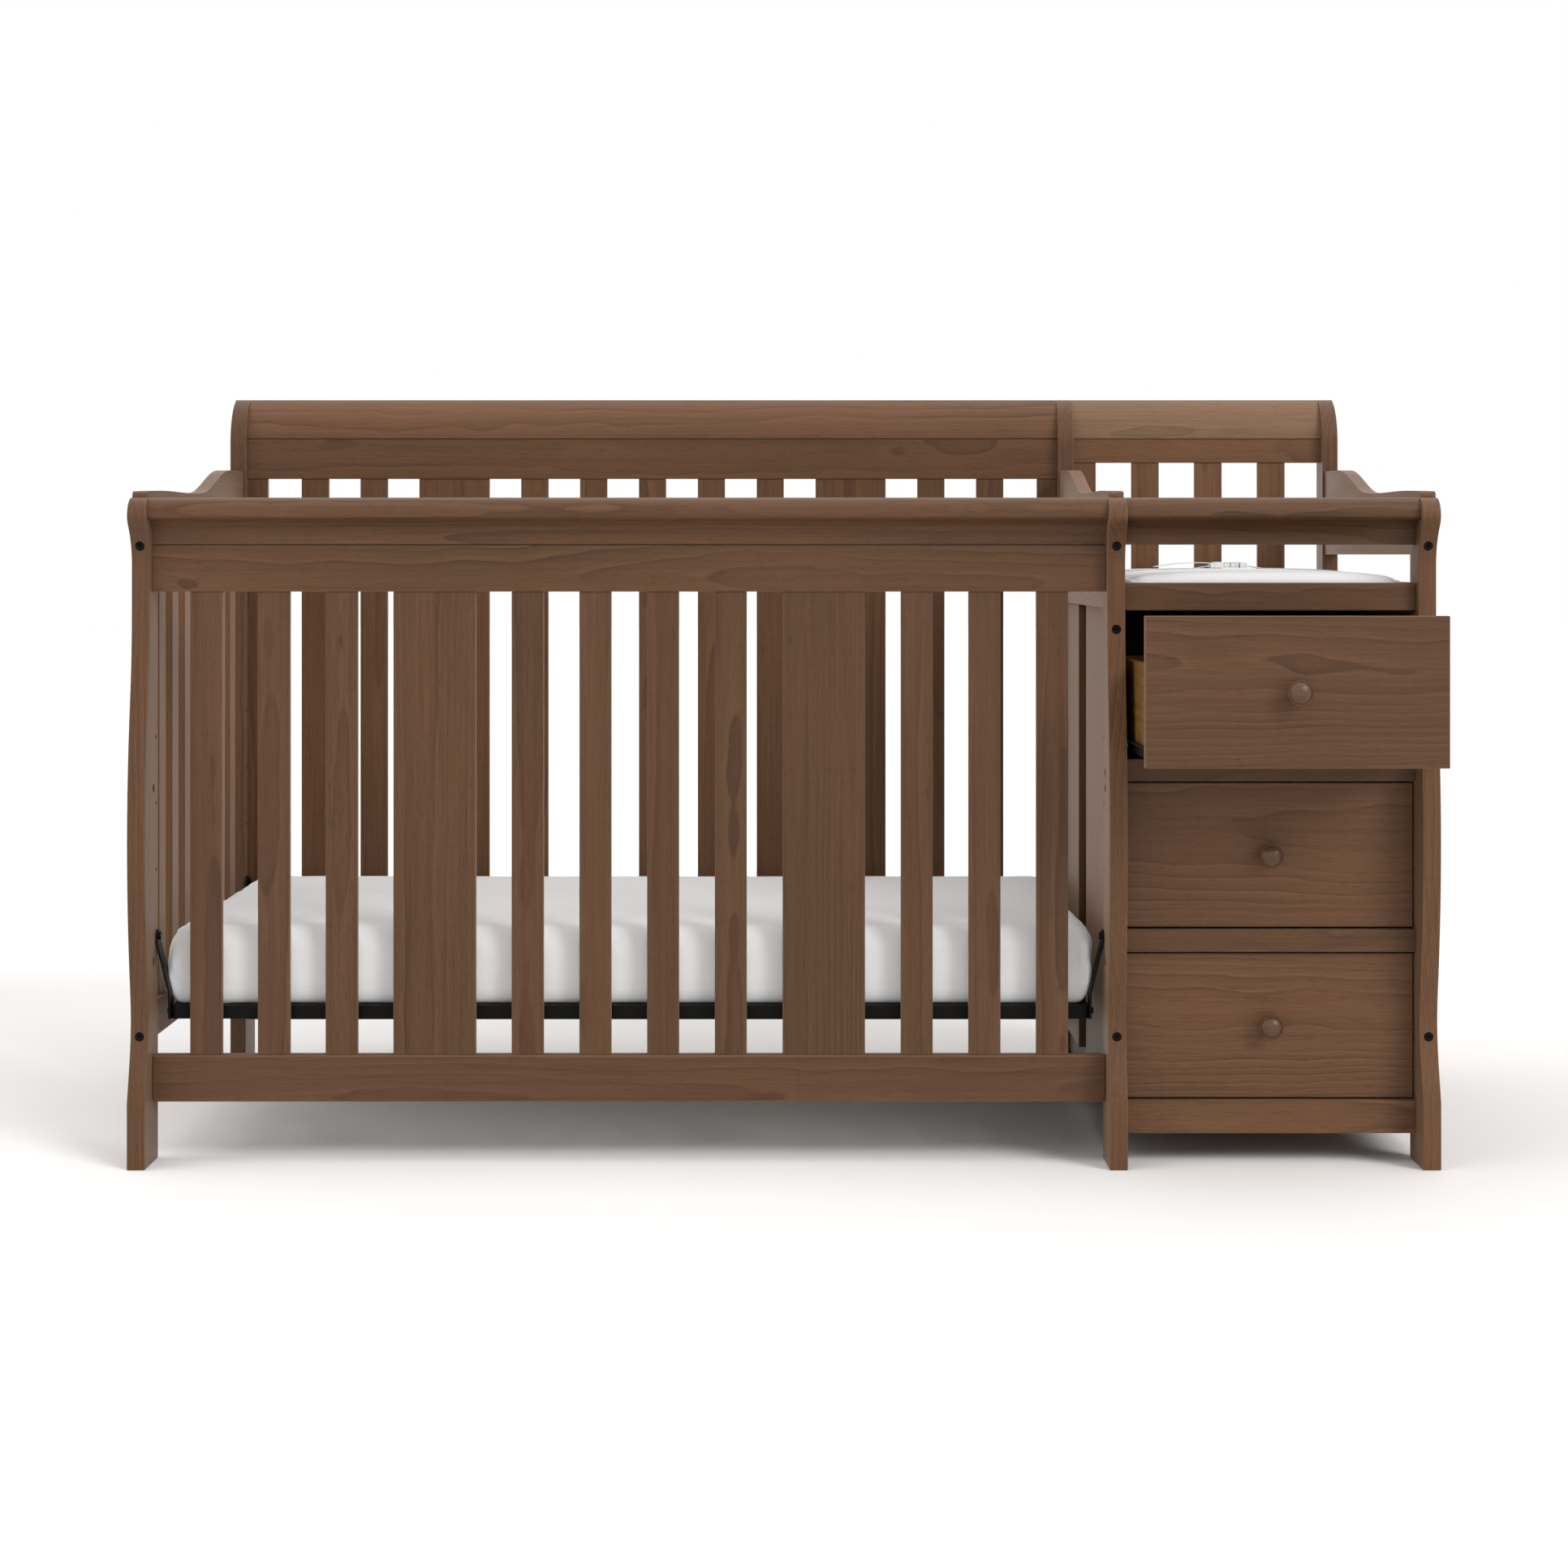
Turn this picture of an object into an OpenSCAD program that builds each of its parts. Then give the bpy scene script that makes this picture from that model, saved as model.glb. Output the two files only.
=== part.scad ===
// Sleigh crib with an attached three-drawer changing chest.
// X runs along the crib with the chest at +X, Y runs from the front to the back, Z is up.
// The front of the feet is at depth 0 in the values below, and the finished model is moved
// so that its origin lies on the floor under the middle of its box, with the top drawer out.

/* [Overall] */
// Clear length of the sleeping space, between the end posts
crib_length = 1330; // [1250:1:1400]
// Clear depth of the sleeping space, between the front and back rails
crib_depth = 711; // [680:1:740]
// Clear width of the chest, between its posts
chest_width = 407; // [360:1:460]
// Height of the front posts
front_height = 928; // [915:1:960]
// Height of the back posts
back_height = 1104; // [1090:1:1160]

/* [Posts] */
// Thickness of each post, sawn from one flat board
post_t = 25; // [23:0.5:30]
// Depth of a post at its foot
post_depth = 88; // [84:1:100]
// Set-back of the front rails from the front of the feet
rail_setback = 48; // [44:1:52]
// How far the back posts stand forward of the back rails
back_post_lap = 16; // [10:1:22]
// Height of the straight foot, below the S-curve
foot_height = 92; // [70:1:110]
// Depth of the hollow at the waist, above the foot
waist_depth = 25; // [15:1:32]
// Depth of the hollow at the neck, below the scroll
neck_depth = 32; // [20:1:36]
// Radius of the scroll's nose at the top of a post
scroll_r = 27; // [20:1:30]
// Radius of the rounded inner corner at the top of a post
shoulder_r = 80; // [70:1:86]

/* [Rails and slats] */
// Thickness of the flat rails
rail_t = 20; // [18:0.5:22]
// Height of the flat top rail of the front and back panels
top_rail_h = 65.5; // [50:0.5:80]
// Height of the moulded crown on top of a panel
crown_h = 65.3; // [62:0.1:72]
// Radius of the crown's rounded nose
crown_nose_r = 20; // [18:0.5:22]
// Radius of the cove under the crown's nose
crown_cove_r = 28; // [24:0.5:30]
// Height of the bottom rails above the floor
bottom_rail_z = 85.6; // [60:0.1:110]
// Height of the bottom rails
bottom_rail_h = 65.7; // [50:0.1:80]
// Thickness of the slats
slat_t = 12; // [10:0.5:15]
// Set-back of the slats from the face of their rails
slat_inset = 2; // [1:0.5:4]
// Width of a narrow slat
slat_w = 44.5; // [38:0.5:50]
// Width of a wide slat
wide_slat_w = 115; // [90:1:130]
// Gap between a front post and the first front slat
front_end_gap = 52.5; // [40:0.5:60]
// Width of the stile at each end of the back panel
back_stile_w = 33.5; // [28:0.5:40]
// Gap between a back stile and the first back slat
back_end_gap = 55.25; // [45:0.25:60]

/* [Ends] */
// Thickness of the end rails
end_rail_t = 21; // [18:0.5:22]
// Height of an end rail's low front stretch above the front posts
end_rail_lip = 12; // [9:0.5:16]
// Height that an end rail climbs on its way to the back posts
end_rail_rise = 42; // [25:1:60]
// Depth of the outer end rails below the tops of the front posts
end_rail_drop = 79; // [76:1:100]
// Depth of the middle end rail below the tops of the front posts
middle_rail_drop = 155; // [140:1:156]
// Height of the left end's bottom rail above the floor
end_bottom_z = 170.5; // [155:0.5:177]
// Height of the left end's bottom rail
end_bottom_h = 51; // [44:0.5:70]
// Number of slats in the left end
end_slat_count = 7; // [5:1:8]
// Thickness of the two wide boards between crib and chest
divider_t = 12.5; // [12:0.5:13]
// Set-back of those boards from the crib side of the middle posts
divider_inset = 5; // [4:0.5:6]
// Gap between those two boards
divider_gap = 110; // [60:1:200]
// Height of those boards above the floor
divider_z = 90; // [60:1:120]

/* [Chest] */
// Height of the chest's toe rail above the floor
toe_z = 42; // [30:1:60]
// Height of the toe rail
toe_rail_h = 45.5; // [35:0.5:60]
// Gap between the tray's rail and the guard above it
guard_gap = 53.2; // [53:0.1:60]
// Height of the rails between the drawers
drawer_rail_h = 30.5; // [20:0.5:31]
// Height of the rail in front of the changing tray
tray_rail_h = 38.5; // [34:0.5:45]
// Depth of the tray below the top of its rail
tray_depth = 21.5; // [16:0.5:24]
// Thickness of the tray board and the base board
shelf_t = 15.5; // [10:0.5:15.5]
// Thickness of the chest's right side board
side_t = 18; // [17:0.5:22]
// Thickness of the chest's back board
back_board_t = 6; // [4:0.5:8]
// Height of the hutch's flat top rail
hutch_rail_h = 39; // [30:0.5:60]
// Height of the hutch's lower rail
hutch_low_rail_h = 50; // [40:1:60]
// Width of the hutch's stile beside the middle post
hutch_stile_w = 38; // [30:0.5:50]
// Number of slats in the hutch
hutch_slat_count = 3; // [2:1:4]

/* [Drawers] */
// Gap above and below a drawer front
front_gap_z = 2.5; // [1.5:0.5:4]
// Gap at each side of a drawer front
front_gap_x = 2; // [1:0.5:4]
// Thickness of a drawer front
front_t = 18; // [16:0.5:22]
// Set-back of a closed drawer front from the face of the rails
front_inset = 9; // [5:0.5:12]
// Length of a drawer box
box_length = 450; // [400:1:600]
// Height of a drawer box
box_h = 125; // [90:1:150]
// Thickness of a drawer box's boards
box_t = 12; // [10:0.5:15]
// Thickness of a drawer's bottom panel
box_bottom_t = 4; // [3:0.5:6]
// Height of the bottom panel above the lower edge of its box
box_bottom_z = 8; // [6:0.5:14]
// How far the top drawer is pulled out
drawer_pull = 234; // [0:1:320]
// Radius of a drawer knob
knob_r = 17; // [14:0.5:20]
// Distance that a knob stands out from its drawer front
knob_out = 28.8; // [25:0.1:34]

/* [Runners] */
// Room for a runner, between a drawer box and the side of the chest
runner_gap = 12.5; // [12:0.5:14]
// Thickness of the runners' steel
runner_steel = 1.2; // [1:0.1:1.3]
// Height of a runner above the floor of its opening
runner_z = 11.5; // [9:0.5:14]
// Radius of a runner's roller
roller_r = 6.5; // [6:0.1:7]
// Width of a roller
roller_w = 6; // [5:0.1:6]
// Radius of a roller's axle
axle_r = 2; // [1.5:0.1:2.5]
// Distance of a roller from the end of its runner
roller_inset = 12; // [10:1:20]

/* [Mattress support] */
// Gap between the support frame and the posts at each end
support_gap = 21; // [18:0.5:26]
// Gap between the support frame and the rails at front and back
support_side_gap = 4; // [3:0.5:5]
// Height of the top of the support frame
support_z = 217; // [200:1:240]
// Height of the steel band round the support frame
band_h = 19; // [16:0.5:24]
// Thickness of the band and of the support's straps
support_steel = 2.5; // [2:0.1:3]
// Width of the flange along the top of the band
support_flange = 22; // [16:1:30]
// Number of straps across the support
strap_count = 9; // [6:1:12]
// Width of a strap across the support
strap_w = 30; // [20:1:40]
// Thickness of a hanger
hanger_t = 3; // [2:0.1:4]
// Width of a hanger
hanger_w = 20; // [18:1:22]
// Height of the lowest mattress position
lowest_hole_z = 314; // [305:1:330]
// Distance between two mattress positions
hole_pitch = 93; // [80:1:96]
// Number of mattress positions
hole_count = 4; // [2:1:4]
// Distance of those holes from the inner edge of a post
hole_inset = 12; // [10:0.5:14]

/* [Fasteners] */
// Radius of a frame bolt
bolt_r = 3; // [2.5:0.1:3.2]
// Radius of a frame bolt's head
bolt_head_r = 6.3; // [5.5:0.1:6.8]
// Height of a frame bolt's head
bolt_head_h = 6; // [4:0.5:8]
// How deep a bolt head sits below the surface of its post
bolt_sink = 1; // [0.5:0.1:2]
// How far a frame bolt reaches into the piece behind its post
bolt_reach = 45; // [30:1:60]
// Radius of the holes that the rails of the later bed forms bolt to
rail_hole_r = 6.25; // [5:0.25:7]
// Depth of those holes
rail_hole_depth = 12; // [8:0.5:14]
// Height of the lower one of those holes
low_rail_hole_z = 280; // [260:1:300]
// Height of the upper one of those holes
high_rail_hole_z = 522; // [500:1:530]
// Height of the extra hole above it on the middle post
extra_rail_hole_z = 543.5; // [543:0.5:570]

/* [Bedding] */
// Gap between the mattress and the posts at each end
mattress_end_gap = 12; // [11:0.5:20]
// Gap between the mattress and the rails at front and back
mattress_side_gap = 9.5; // [8.5:0.5:15]
// Height of the mattress at its edges
mattress_h = 107; // [90:1:150]
// Height of the mattress's crown above its edges
mattress_crown = 5; // [2:0.5:12]
// Gap between the changing pad and the posts at each side
pad_side_gap = 8; // [6:0.5:12]
// Gap between the changing pad and the rails at front and back
pad_end_gap = 6; // [4:0.5:10]
// Height of the changing pad at its edges
pad_h = 20; // [18:0.5:26]
// Height of the changing pad's crown above its edges
pad_crown = 18.5; // [10:0.5:24]
// Width of the safety strap
safety_strap_w = 26; // [20:1:32]
// Thickness of the safety strap
safety_strap_t = 1.2; // [0.8:0.1:2]
// Length of the strap's buckle
buckle_length = 56; // [50:1:64]
// Height of the strap's buckle
buckle_h = 9; // [7:0.5:11]

/* [Hidden] */

// Clearances and small sizes that several pieces share
soft_gap = 0.3;          // room between a soft piece and what carries it
rolling_gap = 0.3;       // room between a roller and what it rolls on
axle_gap = 0.08;         // running clearance between an axle and its roller
bolt_gap = 0.3;          // clearance round a bolt in its hole
hidden_overlap = 1;      // how far a cutter passes the surface that it cuts
end_rail_inset = 0.5;    // how far the end rails lie inside the posts' outer faces
curve_steps = 6;         // straight facets in each stretch of an S-curve
arc_steps = 10;          // straight facets in each rounded corner
crown_arc_steps = 12;    // straight facets in each arc of a crown

// Places along the crib
total_length = 3 * post_t + crib_length + chest_width;
left_post_x = -total_length / 2;
crib_x0 = left_post_x + post_t;
crib_x1 = crib_x0 + crib_length;
chest_x0 = crib_x1 + post_t;
chest_x1 = chest_x0 + chest_width;
right_post_x = chest_x1;
crib_mid_x = (crib_x0 + crib_x1) / 2;
chest_mid_x = (chest_x0 + chest_x1) / 2;

// Places from the front to the back
front_rail_y = rail_setback;
crib_y0 = front_rail_y + rail_t;
back_rail_y = crib_y0 + crib_depth;
post_back_y = post_depth;
back_post_y = back_rail_y - back_post_lap;
total_depth = back_post_y + post_depth;
closed_front_y = front_rail_y + front_inset;
front_back_y = closed_front_y + front_t;
middle_y = (total_depth + closed_front_y - drawer_pull - knob_out) / 2;

// Heights
front_crown_z = front_height - crown_h;
back_crown_z = back_height - crown_h;
bottom_rail_top = bottom_rail_z + bottom_rail_h;
end_rail_bottom = front_height - end_rail_drop;
middle_rail_bottom = front_height - middle_rail_drop;
end_bottom_top = end_bottom_z + end_bottom_h;
first_opening_z = toe_z + toe_rail_h;
tray_rail_top = front_crown_z - guard_gap;
tray_rail_z = tray_rail_top - tray_rail_h;
drawer_count = 3;
opening_pitch = (tray_rail_z - first_opening_z + drawer_rail_h) / drawer_count;
opening_h = opening_pitch - drawer_rail_h;
tray_z = tray_rail_top - tray_depth;
hutch_rail_z = back_crown_z - hutch_rail_h;
hutch_low_rail_z = tray_rail_top - hutch_low_rail_h;

// The S-curve of a post's outer edge: knots of [height, depth, slope] from foot to nose
waist_z = 200;
hip_z = 270;
belly_z = 450;
belly_depth = 0.8;
chest_z = front_height - 278;
neck_z = front_height - 138;
function post_knots(top) = [
    [foot_height, 0, 0.3],
    [waist_z, waist_depth, 0],
    [hip_z, 0.65 * waist_depth, -0.175],
    [belly_z, belly_depth, 0],
    [chest_z, 0.64 * neck_depth, 0.18],
    [neck_z, neck_depth, 0],
    [top - 94, neck_depth, 0],
    [top - 48, 0.47 * neck_depth, -0.8],
    [top - scroll_r, 1, 0]
];

// Depth at a height between two knots, on the cubic that keeps both slopes
function between_knots(a, b, h) =
    let (span = b[0] - a[0], t = (h - a[0]) / span)
    a[1] * (2 * pow(t, 3) - 3 * pow(t, 2) + 1) + a[2] * span * (pow(t, 3) - 2 * pow(t, 2) + t)
    + b[1] * (3 * pow(t, 2) - 2 * pow(t, 3)) + b[2] * span * (pow(t, 3) - pow(t, 2));

// Points [depth, height] along a curve through knots, in even steps
function knot_curve(knots, steps) = [
    for (i = [0:len(knots) - 2], s = [0:steps - 1])
        let (h = knots[i][0] + (knots[i + 1][0] - knots[i][0]) * s / steps)
        [between_knots(knots[i], knots[i + 1], h), h]
];

// Depth of a post's outer edge at one height
function edge_depth(top, h) =
    let (k = post_knots(top), i = max([for (j = [0:len(k) - 2]) if (k[j][0] <= h) j]))
    between_knots(k[i], k[i + 1], h);

// Points of a circular arc, both ends included
function arc(center, r, from, to, steps) = [
    for (s = [0:steps])
        let (a = from + (to - from) * s / steps)
        center + r * [cos(a), sin(a)]
];

// The rounded inner corner at the top of a front post, from the top downwards
shoulder_rise = 74;
function shoulder(top) =
    arc([post_depth - shoulder_r, top - shoulder_rise], shoulder_r,
        asin(shoulder_rise / shoulder_r), 0, arc_steps);

// Outline of a front post, seen from the right end
function post_outline(top) = concat(
    [[post_depth, 0], [0, 0]],
    knot_curve(post_knots(top), curve_steps),
    arc([1 + scroll_r, top - scroll_r], scroll_r, 180, 90, arc_steps),
    shoulder(top)
);

// The same outline, turned to face the other way at the back
function at_back(points) = [for (p = points) [total_depth - p[0], p[1]]];

// Outline of a front crown: a rounded nose over a cove, with a bellied back
crown_back_r = 80;
crown_neck_h = 7.3;
crown_lip_r = 6;
function crown_outline(bottom) =
    let (face = front_rail_y,
         cove_y = face - crown_cove_r,
         cove_z = bottom + crown_neck_h,
         lip_y = cove_y - 0.5,
         nose_y = lip_y - crown_lip_r + crown_nose_r,
         lip_z = cove_z + crown_cove_r + crown_lip_r,
         back_y = crib_y0 - crown_back_r,
         back_angle = asin(crown_h / crown_back_r),
         nose_end = acos(min(1, (back_y + crown_back_r * cos(back_angle) - nose_y) / crown_nose_r)))
    concat(
        [[face, bottom]],
        arc([cove_y, cove_z], crown_cove_r, 0, 90, crown_arc_steps),
        arc([lip_y, lip_z], crown_lip_r, 270, 180, crown_arc_steps / 2),
        arc([nose_y, bottom + crown_h - crown_nose_r], crown_nose_r, 180,
            max(90, nose_end), crown_arc_steps),
        arc([back_y, bottom], crown_back_r, back_angle, 0, crown_arc_steps)
    );

// Top edge of an end rail, from its front corner to the back post
end_corner_y = 34;
end_corner_r = 6;
end_level_y = post_back_y + 57;      // where the rail's front stretch is level
end_climb_y = post_back_y + 342;     // where it starts to climb
end_crest_y = back_post_y - 123;     // where the climb eases off
function end_rail_top() =
    let (low = front_height + end_rail_lip)
    [for (p = knot_curve([
            [end_corner_y + end_corner_r, low - 3, 0.04],
            [end_level_y, low, 0.015],
            [end_climb_y, low + 3, 0.05],
            [end_crest_y, low + end_rail_rise + 1, 0.04],
            [back_post_y, low + end_rail_rise + 3, 0.01],
            [back_post_y + 1, low + end_rail_rise + 3, 0]
        ], 2 * curve_steps)) if (p[1] <= back_post_y) [p[1], p[0]]];

// Outline of an end rail that is coped over the shoulder of its front post
function end_rail_outline(bottom) =
    let (corner_z = front_height + end_rail_lip - 3 - end_corner_r)
    concat(
        [[back_post_y, bottom], [post_back_y, bottom]],
        [for (i = [arc_steps:-1:0]) shoulder(front_height)[i]],
        [[end_corner_y, front_height]],
        arc([end_corner_y + end_corner_r, corner_z], end_corner_r, 180, 90, arc_steps / 2),
        end_rail_top()
    );

// Left edges of a row of boards of given widths, spread over a span with even gaps between
function row_starts(x0, span, end_gap, widths) =
    let (n = len(widths),
         gap = (span - 2 * end_gap - sum(widths, n)) / (n - 1))
    [for (i = [0:n - 1]) x0 + end_gap + i * gap + sum(widths, i)];

// Sum of the first n values of a list
function sum(list, n) = n == 0 ? 0 : list[n - 1] + sum(list, n - 1);

front_slat_widths = [
    slat_w, slat_w, slat_w, wide_slat_w, slat_w, slat_w, slat_w, slat_w, wide_slat_w,
    slat_w, slat_w, slat_w
];
back_slat_widths = [
    slat_w, slat_w, wide_slat_w, slat_w, slat_w, slat_w, slat_w, slat_w, wide_slat_w,
    slat_w, slat_w
];

// Colours, as the photograph shows them
stained = "#664B39";
stained_shade = "#5C4332";
golden_pine = "#B98A4A";
black_steel = "#17171A";
white_cloth = "#E6E6E8";
white_plastic = "#EDEDED";

// Moves a piece from depths counted from the feet to the model's own origin
module place() {
    translate([0, -middle_y, 0]) children();
}

// A plain board between two corners
module board(low, high) {
    translate(low) cube(high - low);
}

// A board sawn to an outline of [depth, height] points, from one X to another
module sawn_board(outline, x0, x1) {
    translate([x0, 0, 0]) rotate([90, 0, 90]) linear_extrude(x1 - x0) polygon(outline);
}

// A round bar along Y or X, from a point
module bar_y(p, r, length) {
    translate(p) rotate([-90, 0, 0]) cylinder(r = r, h = length, $fn = 32);
}
module bar_x(p, r, length) {
    translate(p) rotate([0, 90, 0]) cylinder(r = r, h = length, $fn = 32);
}

// Upright slats on a rail that faces the front, at the given left edges
module slat_row(starts, widths, y0, z0, z1) {
    for (i = [0:len(widths) - 1])
        board([starts[i], y0, z0], [starts[i] + widths[i], y0 + slat_t, z1]);
}

// ---- Posts ----

end_bolt_z = front_height - 67.3;
low_bolt_z = 180.4;
divider_bolt_z = middle_rail_bottom - 28;
function bolt_heights(is_middle) =
    is_middle ? [low_bolt_z, divider_bolt_z, end_bolt_z] : [low_bolt_z, end_bolt_z];
function hole_heights() = [for (i = [0:hole_count - 1]) lowest_hole_z + i * hole_pitch];

// Counterbored holes of the bolts that pass through a front post into the end behind it
module bolt_holes(x, heights) {
    for (z = heights) {
        seat = edge_depth(front_height, z) + bolt_sink + bolt_head_h;
        bar_y([x, -hidden_overlap, z], bolt_head_r + bolt_gap, seat + hidden_overlap);
        bar_y([x, 0, z], bolt_r + bolt_gap, post_depth + hidden_overlap);
    }
}

// Blind holes in a post's face towards the crib, at one depth and several heights
module face_holes(face_x, inwards, y, heights, r) {
    start = inwards > 0 ? face_x - rail_hole_depth : face_x - hidden_overlap;
    for (z = heights)
        bar_x([start, y, z], r, rail_hole_depth + hidden_overlap);
}

// The holes of the mattress positions
module position_holes(face_x, inwards) {
    face_holes(face_x, inwards, post_depth - hole_inset, hole_heights(), bolt_r + bolt_gap);
}

// The holes of the bed rails, on the centre line of the front rails
module rail_holes(face_x, inwards, is_middle) {
    pair = [low_rail_hole_z, high_rail_hole_z];
    face_holes(face_x, inwards, front_rail_y + rail_t / 2,
        is_middle ? concat(pair, [extra_rail_hole_z]) : pair, rail_hole_r);
}

// One front post; inwards is +1 where the crib lies at its +X side and -1 at its -X side
module front_post(x, is_middle, inwards) {
    color(stained) place() difference() {
        sawn_board(post_outline(front_height), x, x + post_t);
        bolt_holes(x + post_t / 2, bolt_heights(is_middle));
        if (inwards != 0) {
            position_holes(crib_face(x, inwards), inwards);
            rail_holes(crib_face(x, inwards), inwards, is_middle);
        }
    }
}

// The face of a post that looks into the crib
function crib_face(x, inwards) = inwards > 0 ? x + post_t : x;

// The matching back post: the same S-curve, turned round and carried up higher
module back_post(x, is_middle, inwards) {
    color(stained_shade) place() difference() {
        sawn_board(at_back(post_outline(back_height)), x, x + post_t);
        translate([0, total_depth, 0]) mirror([0, 1, 0]) {
            bolt_holes(x + post_t / 2, bolt_heights(is_middle));
            if (inwards != 0) position_holes(crib_face(x, inwards), inwards);
        }
    }
}

// ---- Front panel ----

module front_crown() {
    color(stained) place() sawn_board(crown_outline(front_crown_z), crib_x0, crib_x1);
}

module front_top_rail() {
    color(stained) place()
        board([crib_x0, front_rail_y, front_crown_z - top_rail_h], [crib_x1, crib_y0, front_crown_z]);
}

module front_bottom_rail() {
    color(stained) place()
        board([crib_x0, front_rail_y, bottom_rail_z], [crib_x1, crib_y0, bottom_rail_top]);
}

module front_slats() {
    color(stained) place()
        slat_row(row_starts(crib_x0, crib_length, front_end_gap, front_slat_widths),
            front_slat_widths, front_rail_y + slat_inset, bottom_rail_top, front_crown_z - top_rail_h);
}

// ---- Back panel ----

module back_crown() {
    color(stained) place()
        sawn_board(at_back_rail(crown_outline(back_crown_z)), crib_x0, crib_x1);
}

// A front crown's outline, turned round to stand on the back rail
function at_back_rail(points) = [for (p = points) [back_rail_y + crib_y0 - p[0], p[1]]];

module back_top_rail() {
    color(stained) place()
        board([crib_x0, back_rail_y, back_crown_z - top_rail_h],
            [crib_x1, back_rail_y + rail_t, back_crown_z]);
}

module back_bottom_rail() {
    color(stained) place()
        board([crib_x0, back_rail_y, bottom_rail_z], [crib_x1, back_rail_y + rail_t, bottom_rail_top]);
}

// The back slats, with a stile against the post at each end
module back_slats() {
    color(stained_shade) place() {
        slat_row(row_starts(crib_x0, crib_length, back_stile_w + back_end_gap, back_slat_widths),
            back_slat_widths, back_rail_y + slat_inset, bottom_rail_top, back_crown_z - top_rail_h);
        slat_row([crib_x0, crib_x1 - back_stile_w], [back_stile_w, back_stile_w],
            back_rail_y + slat_inset, bottom_rail_top, back_crown_z - top_rail_h);
    }
}

// ---- Ends ----

// Cutters for the bolts that reach from the posts into the ends of an end piece
module end_bolt_holes(x, heights) {
    for (z = heights) {
        bar_y([x, post_back_y - bolt_inset, z], bolt_r + bolt_gap, bolt_reach + bolt_inset);
        bar_y([x, back_post_y - bolt_reach, z], bolt_r + bolt_gap, bolt_reach + bolt_inset);
    }
}
bolt_inset = 30;
left_bolt_x = left_post_x + post_t / 2;
middle_bolt_x = crib_x1 + post_t / 2;
right_bolt_x = right_post_x + post_t / 2;
left_rail_x = left_post_x + end_rail_inset;
right_rail_x = right_post_x + post_t - end_rail_inset - end_rail_t;
middle_rail_x = crib_x1 + (post_t - end_rail_t) / 2;

module end_top_rail(x, bottom, bolt_x) {
    color(stained) place() difference() {
        sawn_board(end_rail_outline(bottom), x, x + end_rail_t);
        end_bolt_holes(bolt_x, [end_bolt_z]);
    }
}

module left_end_bottom_rail() {
    color(stained) place() difference() {
        board([left_rail_x, post_back_y, end_bottom_z],
            [left_rail_x + end_rail_t, back_post_y, end_bottom_top]);
        end_bolt_holes(left_bolt_x, [low_bolt_z]);
    }
}

module left_end_slats() {
    span = back_post_y - post_back_y;
    gap = (span - end_slat_count * slat_w) / (end_slat_count + 1);
    x0 = left_rail_x + (end_rail_t - slat_t) / 2;
    color(stained) place()
        for (i = [0:end_slat_count - 1]) {
            y0 = post_back_y + gap + i * (slat_w + gap);
            board([x0, y0, end_bottom_top], [x0 + slat_t, y0 + slat_w, end_rail_bottom]);
        }
}

// Two wide boards between the crib and the chest, one at the front and one at the back
module divider_boards() {
    x0 = crib_x1 + divider_inset;
    half = (back_post_y - post_back_y - divider_gap) / 2;
    color(stained) place() difference() {
        for (y0 = [post_back_y, back_post_y - half])
            board([x0, y0, divider_z], [x0 + divider_t, y0 + half, middle_rail_bottom]);
        end_bolt_holes(middle_bolt_x, [low_bolt_z, divider_bolt_z]);
    }
}

// ---- Chest ----

module chest_left_side() {
    color(stained_shade) place()
        board([crib_x1 + divider_inset + divider_t, post_back_y, toe_z],
            [chest_x0, back_post_y, middle_rail_bottom]);
}

module chest_right_side() {
    color(stained) place() difference() {
        board([chest_x1, post_back_y, toe_z], [chest_x1 + side_t, back_post_y, tray_rail_top]);
        end_bolt_holes(right_bolt_x, [low_bolt_z]);
    }
}

module chest_base() {
    color(stained_shade) place()
        board([chest_x0, crib_y0, first_opening_z - shelf_t], [chest_x1, back_rail_y, first_opening_z]);
}

module chest_back() {
    color(stained_shade) place()
        board([chest_x0, back_rail_y - back_board_t, first_opening_z],
            [chest_x1, back_rail_y, tray_z - shelf_t]);
}

module tray_board() {
    color(stained) place()
        board([chest_x0, crib_y0, tray_z - shelf_t], [chest_x1, back_rail_y, tray_z]);
}

// A rail across the front of the chest
module chest_rail(z0, z1) {
    board([chest_x0, front_rail_y, z0], [chest_x1, crib_y0, z1]);
}

module tray_rail() {
    color(stained) place() chest_rail(tray_rail_z, tray_rail_top);
}

module drawer_rails() {
    color(stained) place()
        for (i = [1:drawer_count - 1]) {
            z = first_opening_z + i * opening_pitch;
            chest_rail(z - drawer_rail_h, z);
        }
}

module toe_rail() {
    color(stained) place() chest_rail(toe_z, first_opening_z);
}

module changer_guard() {
    color(stained) place() sawn_board(crown_outline(front_crown_z), chest_x0, chest_x1);
}

module hutch_crown() {
    color(stained) place()
        sawn_board(at_back_rail(crown_outline(back_crown_z)), chest_x0, chest_x1);
}

module hutch_rail(z0, z1) {
    board([chest_x0, back_rail_y, z0], [chest_x1, back_rail_y + rail_t, z1]);
}

module hutch_top_rail() {
    color(stained) place() hutch_rail(hutch_rail_z, back_crown_z);
}

module hutch_low_rail() {
    color(stained) place() hutch_rail(hutch_low_rail_z, tray_rail_top);
}

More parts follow.
